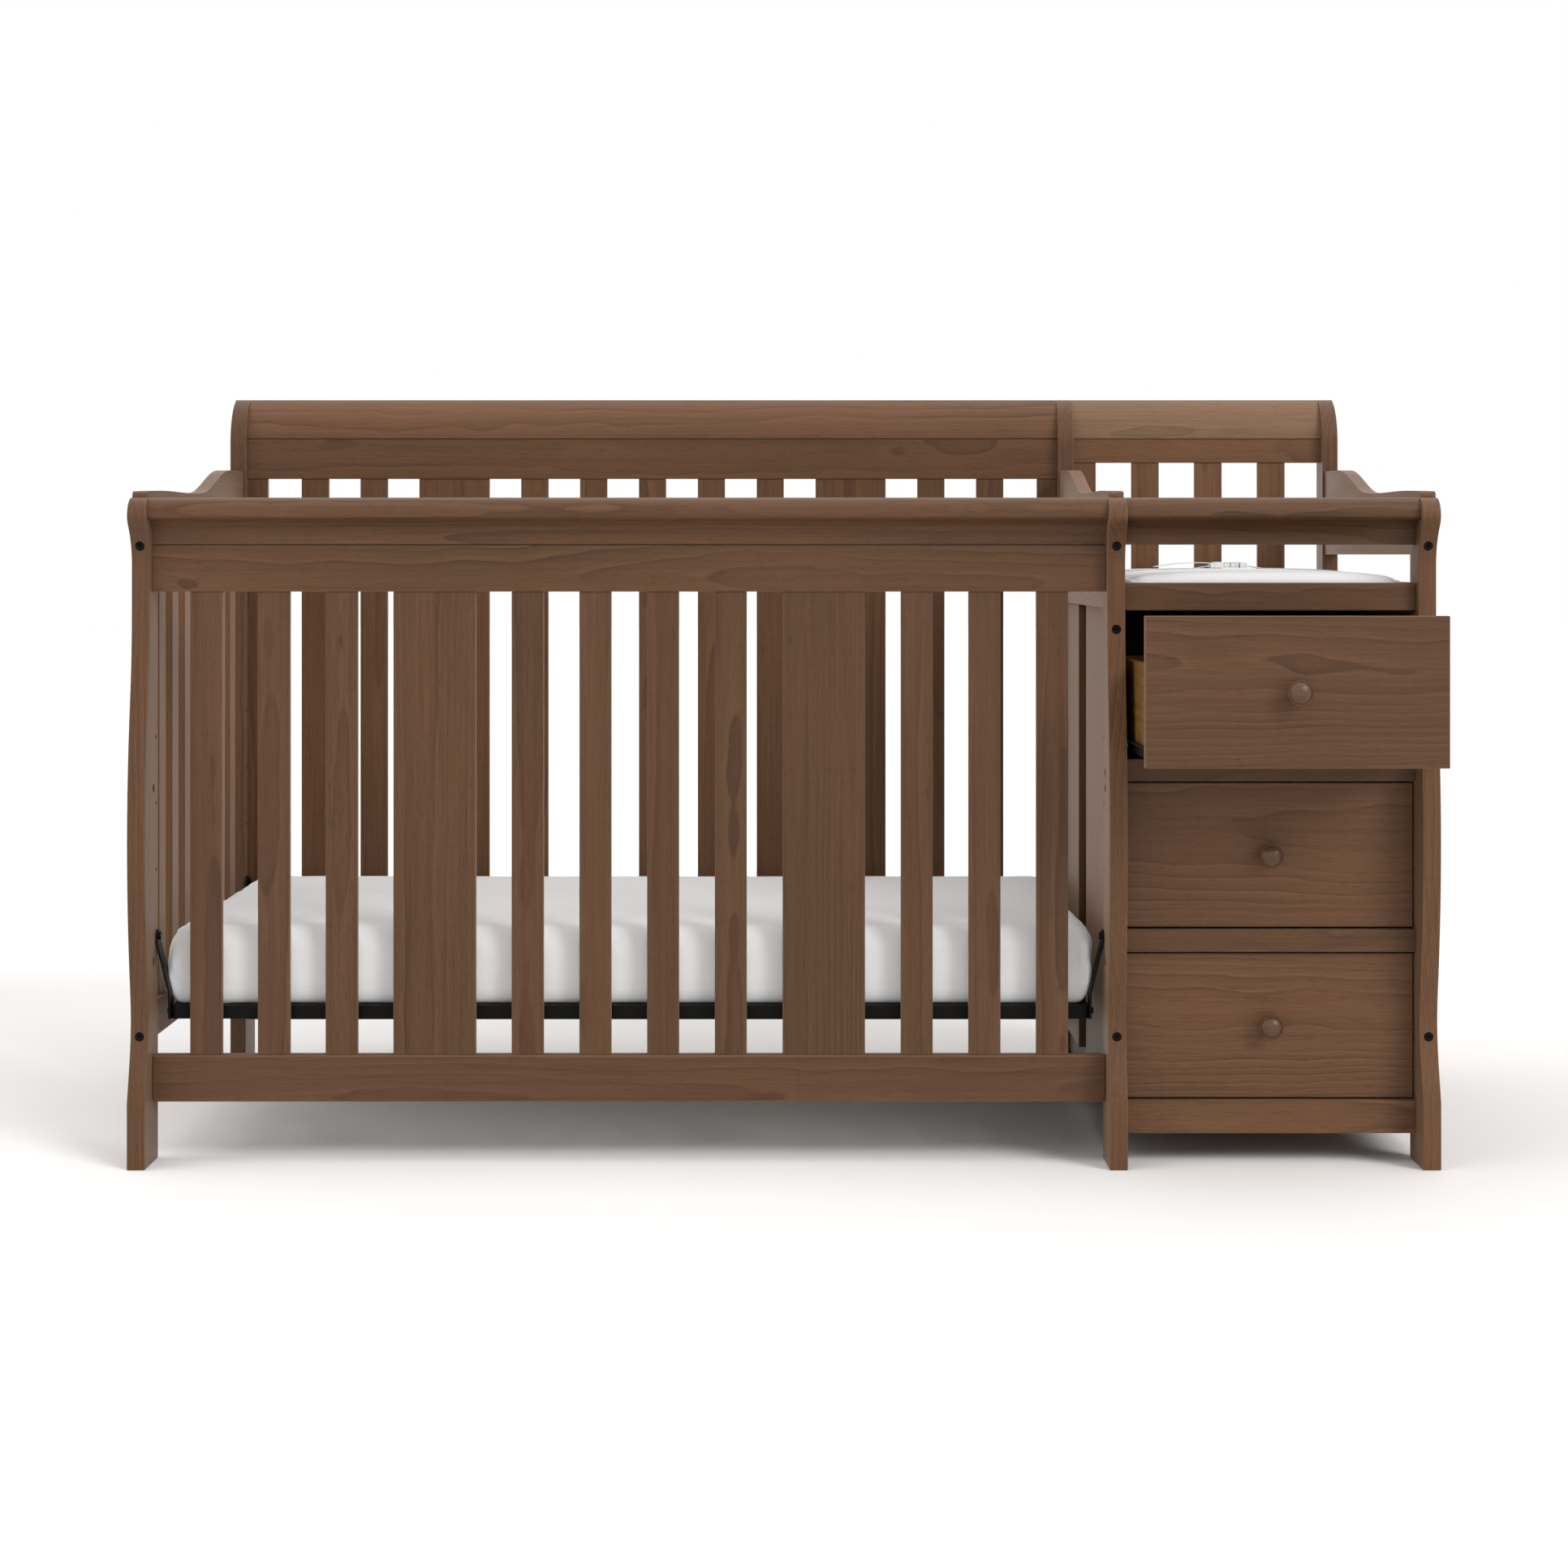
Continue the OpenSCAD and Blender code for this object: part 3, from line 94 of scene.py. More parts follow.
class Shader:
    """A Principled material under construction, with short calls for its nodes."""

    noise_roughness: ClassVar[float] = 0.55
    drift_roughness: ClassVar[float] = 0.5
    bump_strength: ClassVar[float] = 0.7

    def __init__(self, name: str, roughness: float, specular: float) -> None:
        """Makes the material and sets what is the same all over it.

        Args:
            name: The material's name.
            roughness: The surface's roughness where no node changes it.
            specular: The specular level.
        """
        self.material = bpy.data.materials.new(name)
        self.material.use_nodes = True
        self.tree = self.material.node_tree
        self.surface = self.tree.nodes["Principled BSDF"]
        self.constant("Roughness", roughness)
        self.constant("Specular IOR Level", specular)

    def constant(self, name: str, value: object) -> None:
        """Sets a value on the surface's own socket."""
        self.surface.inputs[name].default_value = value

    def feed(self, target: Socket, value: object) -> None:
        """Links a socket to an input, or sets its value.

        Args:
            target: The input.
            value: A socket, a value, or None to leave the input as it is.
        """
        if isinstance(value, Socket):
            self.tree.links.new(value, target)
        elif value is not None:
            target.default_value = value

    def node(self, kind: str, *inputs: object, **settings: object) -> bpy.types.Node:
        """Adds a node.

        Args:
            kind: The node's type name.
            *inputs: A socket or a value for each input in order, or None to leave it.
            **settings: The node's own properties.

        Returns:
            The node.
        """
        made = self.tree.nodes.new(kind)
        for key, value in settings.items():
            setattr(made, key, value)
        for target, value in zip(made.inputs, inputs):
            self.feed(target, value)
        return made

    def place(self) -> Socket:
        """The point on the object, in the object's coordinates."""
        return self.node("ShaderNodeTexCoord").outputs["Object"]

    def attribute(self, name: str, output: str) -> Socket:
        """A value that the mesh carries, such as a board's tone with its painted light and shade."""
        return self.node("ShaderNodeAttribute", attribute_name=name).outputs[output]

    def math(self, operation: str, *inputs: object) -> Socket:
        """The result of a Math node."""
        return self.node("ShaderNodeMath", *inputs, operation=operation).outputs[0]

    def vector(self, operation: str, *inputs: object) -> Socket:
        """The result of a Vector Math node."""
        return self.node("ShaderNodeVectorMath", *inputs, operation=operation).outputs[0]

    def length(self, vector: Socket) -> Socket:
        """A vector's length."""
        return self.node("ShaderNodeVectorMath", vector, operation="LENGTH").outputs["Value"]

    def noise(self, where: Socket, scale: Triple, detail: float = 2.0) -> Socket:
        """Noise with its own scale for each axis.

        Args:
            where: The point at which the noise is read.
            scale: How many features there are per metre along X, Y and Z.
            detail: The number of finer layers.

        Returns:
            The noise, about 0.5.
        """
        point = self.vector("MULTIPLY", where, scale)
        made = self.node("ShaderNodeTexNoise", point, None, 1.0, detail, self.noise_roughness)
        return made.outputs[0]

    def drift(self, where: Socket, scale: Triple, reach: float) -> Socket:
        """A slowly changing vector, used to bend a pattern.

        Args:
            where: The point at which the drift is read.
            scale: How many features there are per metre along X, Y and Z.
            reach: The drift's size in metres.

        Returns:
            The drift as a vector about zero.
        """
        point = self.vector("MULTIPLY", where, scale)
        made = self.node("ShaderNodeTexNoise", point, None, 1.0, 1.0, self.drift_roughness)
        centred = self.vector("SUBTRACT", made.outputs["Color"], (0.5,) * 3)
        return self.vector("MULTIPLY", centred, (reach,) * 3)

    def spread(
        self, value: Socket, low: float, high: float, start: float = 0.3, end: float = 0.7
    ) -> Socket:
        """A value mapped from start and end onto low and high, and held past both."""
        return self.node("ShaderNodeMapRange", value, start, end, low, high).outputs[0]

    def ramp(self, factor: Socket, stops: tuple[Pair, ...]) -> Socket:
        """A grey ramp.

        Args:
            factor: The place on the ramp, from 0 to 1.
            stops: Pairs of place and level.

        Returns:
            The level at that place.
        """
        made = self.node("ShaderNodeValToRGB", factor)
        elements = made.color_ramp.elements
        while len(elements) < len(stops):
            elements.new(1.0)
        for element, (where, level) in zip(elements, stops):
            element.position = where
            element.color = (level, level, level, 1.0)
        return made.outputs["Color"]

    def mix(self, factor: object, first: object, second: object, blend: str = "MIX") -> Socket:
        """Mixes two colours.

        Args:
            factor: How much of the second colour shows.
            first: A colour or a socket.
            second: A colour or a socket.
            blend: The blending mode.

        Returns:
            The mixed colour.
        """
        made = self.node("ShaderNodeMix", data_type="RGBA", blend_type=blend)
        sockets = {s.identifier: s for s in made.inputs}
        for key, value in (("Factor_Float", factor), ("A_Color", first), ("B_Color", second)):
            self.feed(sockets[key], (*value, 1.0) if isinstance(value, tuple) else value)
        return next(s for s in made.outputs if s.identifier == "Result_Color")

    def weave(self, where: Socket, pitch: float) -> Socket:
        """Crossed threads on every face of a piece.

        Args:
            where: The point at which the weave is read.
            pitch: The distance between threads in metres.

        Returns:
            The weave's height, from 0 to 1.
        """
        turns = 2 * math.pi / pitch
        split = self.node("ShaderNodeSeparateXYZ", self.vector("MULTIPLY", where, (turns,) * 3))
        waves = [self.math("SINE", axis) for axis in split.outputs]
        total = self.math("ADD", self.math("ADD", waves[0], waves[1]), waves[2])
        return self.spread(total, 0.0, 1.0, -2.0, 2.0)

    def finish(self, colour: Socket, roughness: object, height: Socket, relief: float) -> Material:
        """Joins colour, roughness and relief to the surface.

        Args:
            colour: The colour.
            roughness: The roughness's socket, or None to keep the constant.
            height: The surface's height, from 0 to 1.
            relief: How many metres a height of 1 stands for.

        Returns:
            The finished material.
        """
        self.feed(self.surface.inputs["Base Color"], colour)
        self.feed(self.surface.inputs["Roughness"], roughness)
        bump = self.node("ShaderNodeBump")
        bump.inputs["Strength"].default_value = self.bump_strength
        bump.inputs["Distance"].default_value = relief
        self.feed(bump.inputs["Height"], height)
        self.feed(self.surface.inputs["Normal"], bump.outputs["Normal"])
        return self.material


@dataclass(frozen=True)
class Figure:
    """Noise stretched along the grain, by its features per metre and its finer layers."""

    lengthwise: float
    across: float
    detail: float

    def read(self, sketch: Shader, point: Socket, axis: GrainAxis) -> Socket:
        """The noise at a point of a board whose fibres run along an axis."""
        return sketch.noise(point, axis_scale(axis, self.lengthwise, self.across), self.detail)


class PlainFinish:
    """A finish of one material, which is the same whichever way a piece lies."""

    name: str

    def materials(self) -> list[Material]:
        """The finish's material, made once."""
        return [bpy.data.materials.get(self.name) or self.material()]


@dataclass(frozen=True)
class WoodFinish:
    """Stained or clear wood, with growth rings about each board's own trunk."""

    name: str
    slot: str
    warm: Triple
    cool: Triple
    ring: Triple
    # Pale early wood, and the painted highlight on eased edges.
    pattern_and_highlight: Triple
    ring_shade: float
    streak_shade: float
    pale_shade: float = 0.16
    ring_pitch: float = 0.0085
    wander: float = 0.045
    smoothest: float = 0.38
    roughest: float = 0.5
    specular: float = 0.2
    sheen: float = 0.26
    sheen_roughness: float = 0.35
    sheen_tint: Triple = (1.0, 0.71, 0.52)
    # The painted highlight's strength on eased edges.
    edge_highlight: float = 0.3
    relief: float = 0.00012
    kink_share: float = 0.2
    fibres: Figure = Figure(12.0, 620.0, 3.0)
    streaks: Figure = Figure(2.4, 150.0, 3.0)
    clouds: Figure = Figure(1.6, 8.0, 1.0)
    pores: Figure = Figure(55.0, 1500.0, 0.0)
    ring_strength: Figure = Figure(2.0, 26.0, 1.0)
    bend: Pair = (1.2, 3.5)
    kink: Pair = (9.0, 14.0)
    uneven_rings: Triple = (75.0, 1.0, 1.0)
    pore_shade: float = 0.4
    streak_ends: Pair = (0.45, 0.75)
    pore_ends: Pair = (0.66, 0.74)
    fibre_shade: Pair = (0.9, 1.1)
    fibre_height: Pair = (0.2, 1.0)
    faintest_ring: float = 0.15
    late_wood: tuple[Pair, ...] = (
        (0.0, 0.25), (0.06, 0.0), (0.5, 0.12), (0.82, 0.5), (0.95, 1.0),
    )
    early_wood: tuple[Pair, ...] = ((0.0, 0.4), (0.07, 1.0), (0.3, 0.0))

    def materials(self) -> list[Material]:
        """The finish for fibres along X, Y and Z, in that order."""
        return [self.material(axis) for axis in GrainAxis]

    def material(self, axis: GrainAxis) -> Material:
        """The finish for boards whose fibres run along one axis.

        Args:
            axis: The direction of the fibres.

        Returns:
            The material, made once for each axis.
        """
        name = f"{self.name}_along_{axis.name.lower()}"
        known = bpy.data.materials.get(name)
        if known:
            return known
        sketch = Shader(name, self.smoothest, self.specular)
        sketch.constant("Sheen Weight", self.sheen)
        sketch.constant("Sheen Roughness", self.sheen_roughness)
        sketch.constant("Sheen Tint", (*self.sheen_tint, 1.0))
        point = sketch.vector("ADD", sketch.place(), sketch.attribute("trunk", "Vector"))
        rings, pale = self.rings(sketch, point, axis)
        fibres, streaks, clouds, pores = (
            figure.read(sketch, point, axis)
            for figure in (self.fibres, self.streaks, self.clouds, self.pores)
        )

        colour = sketch.mix(sketch.spread(clouds, 0.0, 1.0), self.warm, self.cool)
        colour = sketch.mix(sketch.math("MULTIPLY", rings, self.ring_shade), colour, self.ring)
        colour = sketch.mix(sketch.math("MULTIPLY", pale, self.pale_shade), colour, self.pattern_and_highlight)
        streak = sketch.spread(streaks, 0.0, self.streak_shade, *self.streak_ends)
        colour = sketch.mix(streak, colour, self.ring)
        pore = sketch.spread(pores, 0.0, self.pore_shade, *self.pore_ends)
        colour = sketch.mix(pore, colour, self.ring)
        colour = sketch.mix(1.0, colour, sketch.spread(fibres, *self.fibre_shade), "MULTIPLY")
        # The board's tone, which also carries painted light and shade.
        colour = sketch.mix(1.0, colour, sketch.attribute("tone_and_painted_light", "Fac"), "MULTIPLY")
        # Painted highlight: the eased edges are mixed towards the pale colour.
        highlight_share = sketch.math("MULTIPLY", sketch.attribute("eased", "Fac"), self.edge_highlight)
        colour = sketch.mix(highlight_share, colour, self.pattern_and_highlight)
        height = sketch.math("SUBTRACT", sketch.spread(fibres, *self.fibre_height), rings)
        roughness = sketch.spread(fibres, self.smoothest, self.roughest)
        return sketch.finish(colour, roughness, height, self.relief)

    def rings(self, sketch: Shader, point: Socket, axis: GrainAxis) -> tuple[Socket, Socket]:
        """The dark late wood of the growth rings, and the pale early wood beside it.

        Args:
            sketch: The material under construction.
            point: The point in the trunk, whose heart runs along the axis through zero.
            axis: The direction of the fibres.

        Returns:
            How dark the ring is at the point and how pale, both from 0 to 1.
        """
        bend = sketch.drift(point, axis_scale(axis, *self.bend), self.wander)
        kink = sketch.drift(point, axis_scale(axis, *self.kink), self.wander * self.kink_share)
        bent = sketch.vector("ADD", sketch.vector("ADD", point, bend), kink)
        radius = sketch.length(sketch.vector("MULTIPLY", bent, axis_scale(axis, 0.0, 1.0)))
        in_line = sketch.node("ShaderNodeCombineXYZ", radius).outputs[0]
        uneven = sketch.noise(in_line, self.uneven_rings, 1.0)
        phase = sketch.math("ADD", sketch.math("DIVIDE", radius, self.ring_pitch), uneven)
        strength = self.ring_strength.read(sketch, point, axis)
        strength = sketch.spread(strength, self.faintest_ring, 1.0)
        place = sketch.math("FRACT", phase)
        dark, pale = (sketch.ramp(place, stops) for stops in (self.late_wood, self.early_wood))
        return sketch.math("MULTIPLY", dark, strength), sketch.math("MULTIPLY", pale, strength)


@dataclass(frozen=True)
class CoatFinish(PlainFinish):
    """Coated steel, blackened bolts or moulded plastic: fine grit over broad, faint patches."""

    name: str
    slot: str
    colour: Triple
    # The patches' colour, and the painted highlight on eased edges.
    pattern_and_highlight: Triple
    roughness: float
    specular: float = 0.07
    grit: Pair = (1400.0, 2.0)
    patches: Pair = (22.0, 3.0)
    patch_shade: float = 0.35
    # The painted highlight's strength on eased edges.
    edge_highlight: float = 0.5
    gloss: Pair = (-0.06, 0.08)
    relief: float = 0.00004

    def material(self) -> Material:
        """The coat, with a painted highlight on its eased edges where its edge highlight is above 0.

        Returns:
            The material.
        """
        sketch = Shader(self.name, self.roughness, self.specular)
        point = sketch.place()
        grit, patches = (
            sketch.noise(point, (scale,) * 3, detail) for scale, detail in (self.grit, self.patches)
        )
        colour = sketch.mix(sketch.spread(patches, 0.0, self.patch_shade), self.colour, self.pattern_and_highlight)
        # Painted highlight on the eased edges.
        if self.edge_highlight:
            highlight_share = sketch.math("MULTIPLY", sketch.attribute("eased", "Fac"), self.edge_highlight)
            colour = sketch.mix(highlight_share, colour, self.pattern_and_highlight)
        roughness = sketch.spread(patches, *(self.roughness + step for step in self.gloss))
        return sketch.finish(colour, roughness, grit, self.relief)


@dataclass(frozen=True)
class ClothFinish(PlainFinish):
    """Woven cotton, webbing or the smooth cloth of a changing pad."""

    name: str
    slot: str
    colour: Triple
    shaded: Triple
    thread: float
    relief: float
    roughness: float
    sheen: float = 0.0
    rumple: float = 40.0
    slub: float = 260.0
    specular: float = 0.25
    rumple_shade: float = 0.5
    gap_shade: float = 0.4
    slub_shade: float = 0.25
    slub_ends: Pair = (0.5, 0.7)
    slub_height: float = 0.6
    gloss: Pair = (-0.05, 0.05)

    def material(self) -> Material:
        """Crossed threads with slubs, over a faint unevenness.

        Returns:
            The material.
        """
        sketch = Shader(self.name, self.roughness, self.specular)
        sketch.constant("Sheen Weight", self.sheen)
        point = sketch.place()
        weave = sketch.weave(point, self.thread)
        slubs, rumples = (sketch.noise(point, (s,) * 3, 3.0) for s in (self.slub, self.rumple))
        rumpled = sketch.spread(rumples, 0.0, self.rumple_shade)
        colour = sketch.mix(rumpled, self.colour, self.shaded)
        # Painted shade in the gaps between the threads.
        gaps = sketch.math("MULTIPLY", sketch.math("SUBTRACT", 1.0, weave), self.gap_shade)
        colour = sketch.mix(gaps, colour, self.shaded)
        slubbed = sketch.spread(slubs, 0.0, self.slub_shade, *self.slub_ends)
        colour = sketch.mix(slubbed, colour, self.shaded)
        height = sketch.math("ADD", weave, sketch.math("MULTIPLY", slubs, self.slub_height))
        roughness = sketch.spread(slubs, *(self.roughness + step for step in self.gloss))
        return sketch.finish(colour, roughness, height, self.relief)


Finish = WoodFinish | PlainFinish

STAINED = WoodFinish(
    "brown_stain", "stained_wood",
    warm=(0.110, 0.0505, 0.0240), cool=(0.094, 0.0455, 0.0205), ring=(0.030, 0.0118, 0.0052),
    pattern_and_highlight=(0.185, 0.100, 0.056), ring_shade=0.46, streak_shade=0.24,
)
STRAIGHT_STAINED = replace(
    STAINED, name="brown_stain_straight", wander=0.014, ring_pitch=0.0054, streak_shade=0.28,
)
SIDE_STAINED = replace(STRAIGHT_STAINED, name="brown_stain_side", sheen=0.42)
MOULDED_STAINED = replace(STAINED, name="brown_stain_moulded", sheen=0.06)
# The hutch crown's paler, warmer colour is painted sky light; its sheen is the shader's own.
SKY_LIT_STAINED = replace(
    STAINED, name="brown_stain_sky_lit", sheen=0.3,
    warm=(0.118, 0.0655, 0.0365), cool=(0.101, 0.059, 0.031), ring=(0.033, 0.0155, 0.008),
)
TURNED_STAINED = replace(
    STAINED, name="brown_stain_turned", smoothest=0.3, roughest=0.38, specular=0.32,
    ring_shade=0.5, ring_pitch=0.005, sheen=0.0,
)
STAINED_INSIDE = WoodFinish(
    "brown_stain_inside", "stained_wood_inner",
    warm=(0.106, 0.049, 0.0235), cool=(0.088, 0.0435, 0.0195), ring=(0.034, 0.0135, 0.0062),
    pattern_and_highlight=(0.150, 0.080, 0.045), ring_shade=0.5, streak_shade=0.25, smoothest=0.46, roughest=0.56,
)
GOLDEN_PINE = WoodFinish(
    "golden_pine_board", "golden_pine",
    warm=(0.245, 0.127, 0.030), cool=(0.200, 0.100, 0.022), ring=(0.075, 0.031, 0.0062),
    pattern_and_highlight=(0.27, 0.15, 0.05), ring_shade=0.9, streak_shade=0.5, ring_pitch=0.0046, wander=0.06,
    smoothest=0.34, roughest=0.46, sheen=0.0,
)
BLACK_STEEL = CoatFinish(
    "black_coated_steel", "black_steel",
    colour=(0.0032, 0.0030, 0.0027), pattern_and_highlight=(0.012, 0.0115, 0.011), roughness=0.4,
)
BOLT_BLACK = CoatFinish(
    "blackened_bolt", "bolt_black",
    colour=(0.0028, 0.0028, 0.0027), pattern_and_highlight=(0.010, 0.010, 0.0097), roughness=0.34,
)
FITTED_SHEET = ClothFinish(
    "fitted_sheet_cotton", "fitted_sheet",
    colour=(0.905, 0.905, 0.905), shaded=(0.84, 0.84, 0.845), thread=0.0011, relief=0.00012,
    roughness=0.85, sheen=0.15, rumple=18.0,
)
PAD_COVER = ClothFinish(
    "pad_cover_cloth", "pad_cover",
    colour=(0.82, 0.82, 0.82), shaded=(0.765, 0.765, 0.77), thread=0.0008, relief=0.00006,
    roughness=0.62, sheen=0.1,
)
STRAP_WEBBING = ClothFinish(
    "white_webbing", "strap_webbing",
    colour=(0.76, 0.76, 0.76), shaded=(0.56, 0.56, 0.57), thread=0.0016, relief=0.00025,
    roughness=0.7,
)
BUCKLE_PLASTIC = CoatFinish(
    "white_buckle_plastic", "buckle_plastic",
    colour=(0.74, 0.74, 0.74), pattern_and_highlight=(0.69, 0.69, 0.695), roughness=0.34, specular=0.5,
    grit=(1800.0, 1.0), patches=(60.0, 2.0), patch_shade=0.6, edge_highlight=0.0, gloss=(-0.05, 0.08),
    relief=0.00002,
)
ROLLER_NYLON = replace(
    BUCKLE_PLASTIC, name="white_roller_nylon", slot="roller_nylon",
    colour=(0.66, 0.65, 0.61), pattern_and_highlight=(0.58, 0.57, 0.53), roughness=0.4,
)


# ---- Pieces in general ----


def link(name: str, data: bpy.types.ID) -> Piece:
    """Adds an object at the origin.

    Args:
        name: The object's name.
        data: The mesh, lamp or camera that it holds.

    Returns:
        The object.
    """
    made = bpy.data.objects.new(name, data)
    bpy.context.scene.collection.objects.link(made)
    return made


def piece_from(shape: Shape, name: str) -> Piece:
    """Writes a bmesh to a new piece and frees it.

    Args:
        shape: The bmesh.
        name: The piece's name, which its mesh has too.

    Returns:
        The piece.
    """
    mesh = bpy.data.meshes.new(name)
    shape.to_mesh(mesh)
    shape.free()
    return link(name, mesh)


def copy_of(node: str) -> Shape:
    """Copies a CAD node's mesh and merges its loose triangles.

    Args:
        node: The CAD node.

    Returns:
        The copy.
    """
    shape = bmesh.new()
    shape.from_mesh(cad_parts[node].data)
    bmesh.ops.remove_doubles(shape, verts=shape.verts, dist=MERGE_DISTANCE)
    return shape


def corners(points: list[Vector]) -> tuple[Vector, Vector]:
    """The lowest and highest corners of the box round some points."""
    low, high = (Vector(pick(p[i] for p in points) for i in range(3)) for pick in (min, max))
    return low, high


def middle_and_half(node: str) -> tuple[Vector, Vector]:
    """The middle of a CAD node's box, and half its size."""
    low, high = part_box(node)
    return (low + high) / 2, (high - low) / 2


def slow_ends(share: float) -> float:
    """A share from 0 to 1 that starts and ends slowly."""
    return share * share * (3 - 2 * share)


def smooth(piece: Piece, angle: float = 32.0) -> None:
    """Shades a piece smooth, apart from its sharp edges.

    Args:
        piece: The piece.
        angle: The angle in degrees from which an edge is sharp.
    """
    piece.data.shade_smooth()
    piece.data.set_sharp_from_angle(angle=math.radians(angle))
    weighted = piece.modifiers.new("even_shading", "WEIGHTED_NORMAL")
    weighted.keep_sharp = True


def dress(piece: Piece, finish: Finish, body: str, node: str) -> Piece:
    """Gives a piece its finish, its body and the node that it stands for.

    Args:
        piece: The piece.
        finish: One of the finishes.
        body: The body that it moves with.
        node: The CAD node that it replaces.

    Returns:
        The piece.
    """
    for material in finish.materials():
        piece.data.materials.append(material)
    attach(piece, body)
    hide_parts(node)
    log.info("%s: %d faces, on %s", piece.name, len(piece.data.polygons), body)
    return piece


def bevel(shape: Shape, edges: list[Edge], width: float, segments: int) -> list[Face]:
    """Rounds edges over a width, with a number of facets, and returns the new faces."""
    return bmesh.ops.bevel(
        shape, geom=edges, offset=width, offset_type="OFFSET", segments=segments,
        profile=0.5, affect="EDGES", clamp_overlap=True, material=-1,
    )["faces"]


@dataclass
class EasedSolids:
    """The solids of a CAD node with their long edges rounded, as one piece."""

    node: str
    ease: float = 0.0011
    segments: int = 2
    shortest: float = 0.02
    top_round: float = 0.0
    sharp_angle: float = 28.0
    heart_depth: Pair = (0.055, 0.13)
    # A factor on the colour that carries painted light and shade; 1 leaves it as it is.
    tone_and_painted_light: float = 1.0
    joint: Joint = Joint.NONE
    joint_reach: float = 0.0026
    # Painted shade in the joint's groove, as a factor on the edges' colour.
    joint_painted_shade: float = 0.3
    top_segments: int = 4
    # The painted highlight on the rounded tops' faces.
    top_highlight: float = 0.35
    flat_angle: ClassVar[float] = 0.4
    aside: ClassVar[float] = 0.35
    along: ClassVar[float] = 9.0
    shades: ClassVar[Pair] = (0.94, 1.07)
    broad: ClassVar[float] = 0.9
    narrow: ClassVar[float] = 0.1
    upward: ClassVar[float] = 0.3

    def dressed(self, finish: Finish, body: str = ROOT_BODY) -> Piece:
        """Builds the piece and dresses it in its node's place."""
        return dress(self.build(), finish, body, self.node)

    def build(self) -> Piece:
        """Marks the boards of a copy of the node, and rounds their edges.

        Returns:
            The piece.
        """
        shape = copy_of(self.node)
        bmesh.ops.dissolve_limit(
            shape, angle_limit=math.radians(self.flat_angle), verts=shape.verts, edges=shape.edges
        )
        self.mark_boards(shape)
        if self.top_round:
            self.round_each(
                shape, self.top_edges, self.top_round, self.top_segments, self.top_highlight
            )
        self.ease_edges(shape)
        if self.joint is not Joint.NONE:
            self.darken_joint(shape)
        piece = piece_from(shape, f"{self.node}_finished")
        smooth(piece)
        return piece

    @staticmethod
    def boards(shape: Shape) -> list[list[Face]]:
        """Sorts the faces by board.

        Args:
            shape: The bmesh.

        Returns:
            The faces of each separate solid.
        """
        found, seen = [], set()
        for start in shape.faces:
            if start in seen:
                continue
            seen.add(start)
            board = [start]
            for face in board:
                for edge in face.edges:
                    fresh = [f for f in edge.link_faces if f not in seen]
                    seen.update(fresh)
                    board.extend(fresh)
            found.append(board)
        return found

    def mark_boards(self, shape: Shape) -> None:
        """Gives each board a number, a tone, a grain direction and a place in its own trunk.

        The tone varies at random from board to board, times any painted light and shade.

        Args:
            shape: The bmesh.
        """
        part = shape.faces.layers.int.new("part")
        tone_and_painted_light = shape.faces.layers.float.new("tone_and_painted_light")
        trunk = shape.faces.layers.float_vector.new("trunk")
        shape.faces.layers.float.new("eased")
        draw = random.Random(self.node)
        for number, board in enumerate(self.boards(shape)):
            low, high = corners([v.co for f in board for v in f.verts])
            size = high - low
            order = sorted(range(3), key=lambda i: size[i])
            place = -(low + high) / 2
            place[order[0]] += draw.choice((-1, 1)) * draw.uniform(*self.heart_depth)
            place[order[1]] += draw.uniform(-self.aside, self.aside) * size[order[1]]
            place[order[2]] += draw.uniform(-self.along, self.along)
            # A random tone for each board, times the painted light and shade.
            shade = self.tone_and_painted_light * draw.uniform(*self.shades)
            for face in board:
                face[part] = number
                face[tone_and_painted_light] = shade
                face[trunk] = place
                face.material_index = order[2]

    def darken_joint(self, shape: Shape) -> None:
        """Paints shade on the eased edges along the joint, where the groove between the boards is in
        shadow.

        Args:
            shape: The bmesh.
        """
        tone_and_painted_light = shape.faces.layers.float["tone_and_painted_light"]
        eased = shape.faces.layers.float["eased"]
        low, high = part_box(self.node)
        level = low.z if self.joint is Joint.BELOW else high.z
        for face in shape.faces:
            if face[eased] > 0.5 and abs(face.calc_center_median().z - level) < self.joint_reach:
                # Painted shade in the joint.
                face[tone_and_painted_light] *= self.joint_painted_shade
                face[eased] = 0.0

    @staticmethod
    def round_each(
        shape: Shape, pick: Callable[[list[Edge]], list[Edge]], width: float, segments: int,
        edge_highlight: float,
    ) -> None:
        """Rounds some edges of each board in turn.

        Args:
            shape: The bmesh.
            pick: Picks the edges to round from a board's edges.
            width: How far the rounding reaches.
            segments: The number of facets across it.
            edge_highlight: How strong a painted highlight the new faces get, from 0 to 1.
        """
        part = shape.faces.layers.int["part"]
        eased = shape.faces.layers.float["eased"]
        for number in {f[part] for f in shape.faces}:
            edges = [
                e for e in shape.edges
                if len(e.link_faces) == 2 and e.link_faces[0][part] == number
            ]
            for face in bevel(shape, pick(edges), width, segments):
                # The new faces get the painted highlight at this strength.
                face[eased] = edge_highlight

    def top_edges(self, edges: list[Edge]) -> list[Edge]:
        """Picks the edges between the broad faces and the top, as on a shaped end rail.

        Args:
            edges: A board's edges.

        Returns:
            The edges with a broad upright face on one side and one that looks up on the other.
        """
        kept = []
        for edge in edges:
            wide, upper = sorted((f.normal for f in edge.link_faces), key=lambda n: -abs(n.x))
            upright = abs(wide.x) > self.broad and abs(upper.x) < self.narrow
            if upright and upper.z > self.upward:
                kept.append(edge)
        return kept

